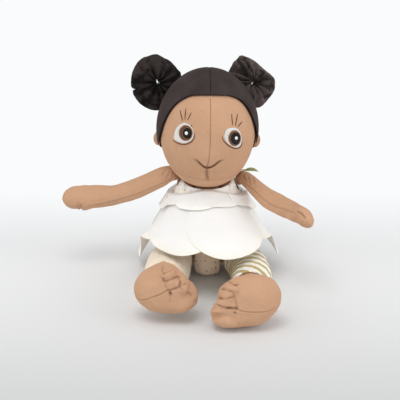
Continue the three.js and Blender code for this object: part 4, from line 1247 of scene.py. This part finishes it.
# The torso and the bell round it as in the CAD part, in mm: the body's half sizes and their shares by height,
# the cloth between body and petals, the bell's curve in front, at the sides and at the back, and its reach
TORSO = 104.0
BODY_SINK = 2.0
BODY_WIDE, BODY_DEEP = 45, 34
WIDTHS = (1, 1.04, 0.98, 0.88, 0.77, 0.64)
DEPTHS = (1, 1.04, 1.02, 0.92, 0.81, 0.68)
PETAL_MARGIN = 0.3 + 1.6 + 0.3 + 0.3 + 1.1 + 0.3
SHOWN_PITCH = 1.1
BELL = {
    "front": {"fall_out": 0.11, "fall_up": 0.74, "bend_out": 0.44, "bend_up": 0.35, "foot": 48.5},
    "side": {"fall_out": 0.12, "fall_up": 0.85, "bend_out": 0.58, "bend_up": 0.46, "foot": 11},
    "back": {"fall_out": 0.12, "fall_up": 0.85, "bend_out": 0.62, "bend_up": 0.45, "foot": 8},
}
REACH_FRONT, REACH_SIDE, REACH_BACK = 108, 75, 60
TOP_DOWN, SIDES_DOWN = 12, 11
# Turns from the front, in degrees: where the front's curve ends and the back's starts, and how softly
FRONT_END, FRONT_SOFT = 58, 26
BACK_START, BACK_SOFT = 105, 45
# The skirt's folds, with their turn round the bell, and its wrinkles, in mm
FOLDS, FOLD_TURN, FOLD_OUT, FOLD_UP = 8, 0.7, 2.4, 0.35
WRINKLE_OUT, WRINKLES_ROUND, WRINKLES_DOWN = 1.6, 3.2, 2.2


def eased(share):
    """A share from 0 to 1 that starts and ends softly."""
    share = min(max(share, 0), 1)
    return share * share * (3 - 2 * share)


def blend_of(a, b, share):
    return a + (b - a) * share


def oval(around, across, deep):
    """How far an oval reaches at a turn from the front."""
    return 1 / math.hypot(math.sin(around) / across, math.cos(around) / deep)


def bell_point(around, down):
    """A place on the bell that the skirt hangs in, by the way round from the front and the way down."""
    turn = math.degrees(abs(around))
    front, back = 1 - eased((turn - FRONT_END) / FRONT_SOFT), eased((turn - BACK_START) / BACK_SOFT)
    pick = {}
    for key, value in BELL["side"].items():
        pick[key] = blend_of(blend_of(value, BELL["back"][key], back), BELL["front"][key], front)
    top = TORSO - TOP_DOWN - SIDES_DOWN * math.sin(around) ** 2
    up_body = (top + BODY_SINK) / (TORSO + BODY_SINK)
    wide, deep = BODY_WIDE * read_shares(WIDTHS, up_body), BODY_DEEP * read_shares(DEPTHS, up_body)
    start = oval(around, wide + PETAL_MARGIN, deep + PETAL_MARGIN)
    reach = oval(around, REACH_SIDE, REACH_FRONT if math.cos(around) > 0 else REACH_BACK)
    foot = pick["foot"]
    outs = (start, blend_of(start, reach, pick["fall_out"]), blend_of(start, reach, pick["bend_out"]), reach)
    ups = (top, blend_of(foot, top, pick["fall_up"]), blend_of(foot, top, pick["bend_up"]), foot)
    up = 1 - down
    weights = (up**3, 3 * up * up * down, 3 * up * down * down, down**3)
    fold = FOLD_OUT * down * math.cos(FOLDS * around + FOLD_TURN)
    across, along = WRINKLES_ROUND * math.sin(around), WRINKLES_ROUND * math.cos(around)
    fold += WRINKLE_OUT * max(down, 0) ** 1.5 * noise.noise((across, along, WRINKLES_DOWN * down))
    out = sum(value * weight for value, weight in zip(outs, weights)) + fold
    height = sum(value * weight for value, weight in zip(ups, weights)) + fold * FOLD_UP
    return Vector((out * math.sin(around), -out * math.cos(around), height))


def bell_offset(around, down, out):
    """A place so many mm outside the bell."""
    step = 0.01
    around_way = bell_point(around + step, down) - bell_point(around - step, down)
    down_way = bell_point(around, down + step) - bell_point(around, down - step)
    return bell_point(around, down) + down_way.cross(around_way).normalized() * out


# Each big petal: the way it hangs, its width at the top and in full, its layer and how far down it ends
BIG_PETALS = (
    ("front_left_petal", 19, 0.29, 0.61, 2, 1.03),
    ("front_right_petal", -26, 0.3, 0.6, 1, 1),
    ("side_right_petal", -70, 0.34, 0.62, 0, 1),
    ("side_left_petal", 70, 0.34, 0.62, 1, 1),
    ("back_right_petal", -146, 0.3, 0.54, 1, 1),
    ("back_left_petal", 146, 0.3, 0.54, 0, 1),
)
BIG_GRID, SMALL_GRID = (44, 40), (26, 22)
FOOT_ROUND, FOOT_POWER = 0.42, 3.0
# How far down a petal settles in its layer, and how far from its hem and its sides it darkens: the green of
# its edge stitching, together with painted shade
SETTLED, HEM_SHADE, SIDE_SHADE = 0.12, 0.05, 0.012


def petal(node, towards, top, full, layer, end, start, flare, grid):
    """One petal of cotton, hanging from the waistband in its layer of the skirt."""
    bpy.ops.mesh.primitive_grid_add(x_subdivisions=grid[0], y_subdivisions=grid[1], size=2)
    leaf = made(f"{node}_cotton")
    towards = math.radians(towards)
    cloth = bpy.context.scene.doll_sizes.cloth / MM
    moved, edge = [], []
    for x, y, _ in points(leaf) * MM:
        across, share = math.sin(x * math.pi / 2), (1 - y) / 2
        foot = end * (1 - FOOT_ROUND * (1 - math.sqrt(max(0, 1 - abs(across) ** FOOT_POWER))))
        down = blend_of(start, foot, share)
        middle = bell_point(towards, down)
        half = REACH_SIDE * blend_of(top, full, eased(down / (end * 0.9)))
        around = towards + math.asin(max(-1, min(1, across * half / math.hypot(middle.x, middle.y))))
        hung = layer * SHOWN_PITCH + cloth / 2 + flare * max(down / end, 0) ** 2
        moved.append(bell_offset(around, down, blend_of(0, hung, eased((down - start) / SETTLED))))
        edge.append(math.exp(-min((1 - share) / HEM_SHADE, (1 - abs(across)) / SIDE_SHADE)))
    set_points(leaf, np.array(moved))
    edited(leaf, MERGED, FACED_OUT)
    # The hem and sides take the stitching's green and painted shade, less on the upper petals
    shaded(leaf, np.array(edge) * (0.45 if layer < 3 else 0.25))
    if outward(leaf)[:, 2].sum() < 0:
        edited(leaf, TURNED_OVER)
    finished(leaf, "SOLIDIFY", thickness=cloth * MM, offset=0)
    subdivided(leaf, 1)
    smooth_shaded(leaf)
    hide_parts(node)
    dressed(leaf, "dress", "torso")


def make_petals():
    for node, towards, top, full, layer, end in BIG_PETALS:
        petal(node, towards, top, full, layer, end, 0.03, 0, BIG_GRID)
    for k in range(8):
        uneven = math.sin(k * 2.4 + 0.6)
        towards, end, flare = (k + 0.5) * 45 - 180 + 4 * uneven, 0.36 + 0.035 * uneven, 1.3 - 0.7 * uneven
        petal(f"upper_petal_{k + 1}", towards, 0.25, 0.28, 3 + k % 2, end, -0.12, flare, SMALL_GRID)


# The loose end of the left tie, a small leaf of ribbon: start and end, upper and lower edge, as pixels
TIE_TAIL = (
    (243.5, 170.6), (258.5, 171.8),
    ((240, 170.4), (244, 169.9), (249, 167.7), (254, 168), (258.8, 171.4), (262, 172)),
    ((240, 171.4), (244, 171), (249, 171), (254, 171.2), (258.8, 172), (262, 172.6)),
)


def make_dress():
    bodice = sewn("bodice_cotton", "bodice", voxel=0.5, rounding=8)
    dressed(bodice, "bodice", "torso")
    bloomers = sewn("bloomers_cotton", "bloomers", voxel=1.4, rounding=8, levels=1)
    at = points(bloomers)
    # The strip between the legs puffs forward, is wider above and is narrow at the seat
    strip = (at[:, 1] < -18) * np.clip((17 - np.abs(at[:, 0])) / 4, 0, 1)
    puff = np.clip(1 - (at[:, 0] / 14) ** 2, 0, 1) * np.clip((at[:, 2] + 3) / 10, 0, 1)
    at[:, 1] -= strip * (7 * puff + 1.6 * ripple(at, 0.13, 6))
    at[:, 0] += strip * np.sign(at[:, 0]) * 1.2 * bump(at[:, 2] - 16, 12)
    at[:, 0] *= 1 - 0.28 * strip * bump(at[:, 2], 5)
    set_points(bloomers, at)
    dressed(bloomers, "bloomers", "torso")
    band = sewn("waist_band_cotton", "waist_band", voxel=0.6, rounding=1)
    dressed(band, "dress", "torso")
    for side in SIDES:
        tie = sewn(f"{side}_tie_ribbon", f"{side}_shoulder_tie", voxel=0.45, rounding=2)
        if side == "left":
            fitted_along(tie, *TIE_TAIL, 2.0)
            past = to_view(points(tie))[:, 0] - TIE_TAIL[0][0]
            set_attribute(tie, "leaf", np.clip(past / 2 + 0.5, 0, 1))
        dressed(tie, "ribbon", "torso")


# The stage

# Each lamp's place, size and power, and where the lamps aim
LAMPS = {
    "soft_box": ((-0.2, -0.6, 1.3), 0.7, 6.1),
    "front_fill": ((0.0, -1.35, 0.42), 0.6, 0.9),
    "low_fill": ((0.02, -0.7, 0.08), 0.25, 0.5),
    "right_fill": ((1.1, -0.5, 0.5), 0.8, 4.2),
    "left_fill": ((-1.1, -0.5, 0.5), 0.8, 2.4),
}
LAMP_AIM = Vector((0, -0.03, 0.09))
WORLD_LIGHT = 0.68
# How much painted shade darkens the floor nearby, and where along Y it fades to the lit paper and then turns
# into the backdrop
NEAR_FLOOR_SHADE, LIGHT_FROM, LIGHT_TO = 0.62, -0.45, 0.02
BACKDROP_FROM, BACKDROP_TO = 0.0, 0.26


def make_stage():
    scene = bpy.context.scene
    bpy.ops.mesh.primitive_plane_add(size=8, location=(0, 0, -0.0004))
    floor = made("floor")
    dye = Dye("floor_paper", 0.9)
    split = dye.add("ShaderNodeSeparateXYZ", Vector=dye.place)
    far = dye.between(split.outputs["Y"], BACKDROP_FROM, BACKDROP_TO)
    paper = scene.doll_colours.floor[:]
    light = dye.between(split.outputs["Y"], LIGHT_FROM, LIGHT_TO)
    # Painted shade: the floor is darker towards the camera, where less light falls
    dye.coloured(dye.mixed(light, scaled(paper, NEAR_FLOOR_SHADE), paper))
    glow = dye.add("ShaderNodeEmission", Color=scene.doll_colours.backdrop[:], Strength=1.0)
    mix = dye.add("ShaderNodeMixShader", _0=far, _1=dye.shader.outputs[0], _2=glow.outputs[0])
    dye.feed(dye.tree.nodes["Material Output"], Surface=mix.outputs[0])
    floor.data.materials.append(dye.material)

    world = bpy.data.worlds.new("studio")
    scene.world = world
    nodes = Nodes(world)
    light = nodes.tree.nodes["Background"]
    nodes.feed(light, Color=(1, 1, 1), Strength=WORLD_LIGHT)
    seen = nodes.add("ShaderNodeBackground", Color=scene.doll_colours.backdrop[:])
    path = nodes.add("ShaderNodeLightPath").outputs["Is Camera Ray"]
    mix = nodes.add("ShaderNodeMixShader", _0=path, _1=light.outputs[0], _2=seen.outputs[0])
    nodes.feed(nodes.tree.nodes["World Output"], Surface=mix.outputs[0])

    for name, (at, size, power) in LAMPS.items():
        bpy.ops.object.light_add(type="AREA", location=at)
        lamp = bpy.context.object
        lamp.name = name
        lamp.data.size = size
        lamp.data.energy = power
        lamp.rotation_euler = (LAMP_AIM - Vector(at)).to_track_quat("-Z", "Y").to_euler()

    bpy.ops.object.camera_add(location=CAMERA_AT, rotation=(math.pi / 2 - CAMERA_TILT, 0, 0))
    camera = bpy.context.object
    camera.name = "camera"
    camera.data.sensor_width = SENSOR
    camera.data.lens = FOCAL_PIXELS / IMAGE_SIDE * SENSOR
    camera.data.clip_start = 0.01
    scene.camera = camera
    scene.view_settings.view_transform = "Standard"
    scene.view_settings.look = "None"
    scene.view_settings.exposure = 0
    scene.view_settings.gamma = 1


# The panel and its operators


def colour_property(name, description, value):
    return bpy.props.FloatVectorProperty(
        name=name, description=description, subtype="COLOR", size=3, min=0, max=1, default=linear(*value)
    )


class DollColours(bpy.types.PropertyGroup):
    """Colours that the doll's cloth is dyed"""

    skin: colour_property("Skin", "Velour of the face, arms and feet", (192, 152, 122))
    hair: colour_property("Hair", "Velour of the hair cap and buns", (66, 57, 55))
    dress: colour_property("Dress", "Cotton of the petals and bodice", (253, 251, 246))
    floor: colour_property("Floor", "Paper that the doll sits on", (231, 232, 233))
    backdrop: colour_property("Backdrop", "What is seen behind the doll", (250, 251, 252))


def size_property(name, description, value, low, high):
    return bpy.props.FloatProperty(
        name=name, description=description, subtype="DISTANCE", unit="LENGTH", min=low * MM, max=high * MM,
        default=value * MM,
    )


class DollSizes(bpy.types.PropertyGroup):
    """Sizes of the doll's cloth and stitching"""

    cloth: size_property("Petal cloth", "Thickness of the petals' cotton", 0.7, 0.4, 0.9)
    stitch: size_property("Stitch pitch", "From one stitch of the face seam to the next", 1.9, 1.4, 4)
    stripe: size_property("Stripe pitch", "From one stripe of the legging to the next", 9, 4, 16)
    pleat: size_property("Pleat depth", "How deep the buns are gathered", 1.6, 0.4, 2.4)


class FaceOperator(bpy.types.Operator):
    """Sews the head, ears, hair, eyes and lashes"""

    bl_idname = "doll.face"
    bl_label = "Head and Face"

    def execute(self, context):
        surface = make_head()
        make_eyes(surface)
        make_ears()
        make_hair()
        make_buns()
        return {"FINISHED"}


class BodyOperator(bpy.types.Operator):
    """Stuffs the body, neck, arms, legs and feet"""

    bl_idname = "doll.body"
    bl_label = "Body and Limbs"

    def execute(self, context):
        make_body()
        make_arms()
        make_legs()
        return {"FINISHED"}


class DressOperator(bpy.types.Operator):
    """Makes the leggings, bloomers, bodice, petals and ties"""

    bl_idname = "doll.dress"
    bl_label = "Clothes"

    def execute(self, context):
        make_leggings()
        make_dress()
        make_petals()
        return {"FINISHED"}


class StageOperator(bpy.types.Operator):
    """Sets up the floor, lights and camera"""

    bl_idname = "doll.stage"
    bl_label = "Stage"

    def execute(self, context):
        make_stage()
        return {"FINISHED"}


class DollPanel(bpy.types.Panel):
    """Lists the doll's colours and steps"""

    bl_idname = "VIEW3D_PT_cloth_doll"
    bl_label = "Cloth Doll"
    bl_space_type = "VIEW_3D"
    bl_region_type = "UI"
    bl_category = "Cloth Doll"

    def draw(self, context):
        layout = self.layout
        for name in ("skin", "hair", "dress", "floor", "backdrop"):
            layout.prop(context.scene.doll_colours, name)
        for name in ("cloth", "stitch", "stripe", "pleat"):
            layout.prop(context.scene.doll_sizes, name)
        for operator in (StageOperator, FaceOperator, BodyOperator, DressOperator):
            layout.operator(operator.bl_idname)


CLASSES = (DollColours, DollSizes, FaceOperator, BodyOperator, DressOperator, StageOperator, DollPanel)


def register():
    for item in CLASSES:
        bpy.utils.register_class(item)
    bpy.types.Scene.doll_colours = bpy.props.PointerProperty(type=DollColours)
    bpy.types.Scene.doll_sizes = bpy.props.PointerProperty(type=DollSizes)


def unregister():
    del bpy.types.Scene.doll_sizes
    del bpy.types.Scene.doll_colours
    for item in reversed(CLASSES):
        bpy.utils.unregister_class(item)


def main():
    register()
    dyed()
    bpy.ops.doll.stage()
    bpy.ops.doll.face()
    bpy.ops.doll.body()
    bpy.ops.doll.dress()


if __name__ == "__main__":
    main()
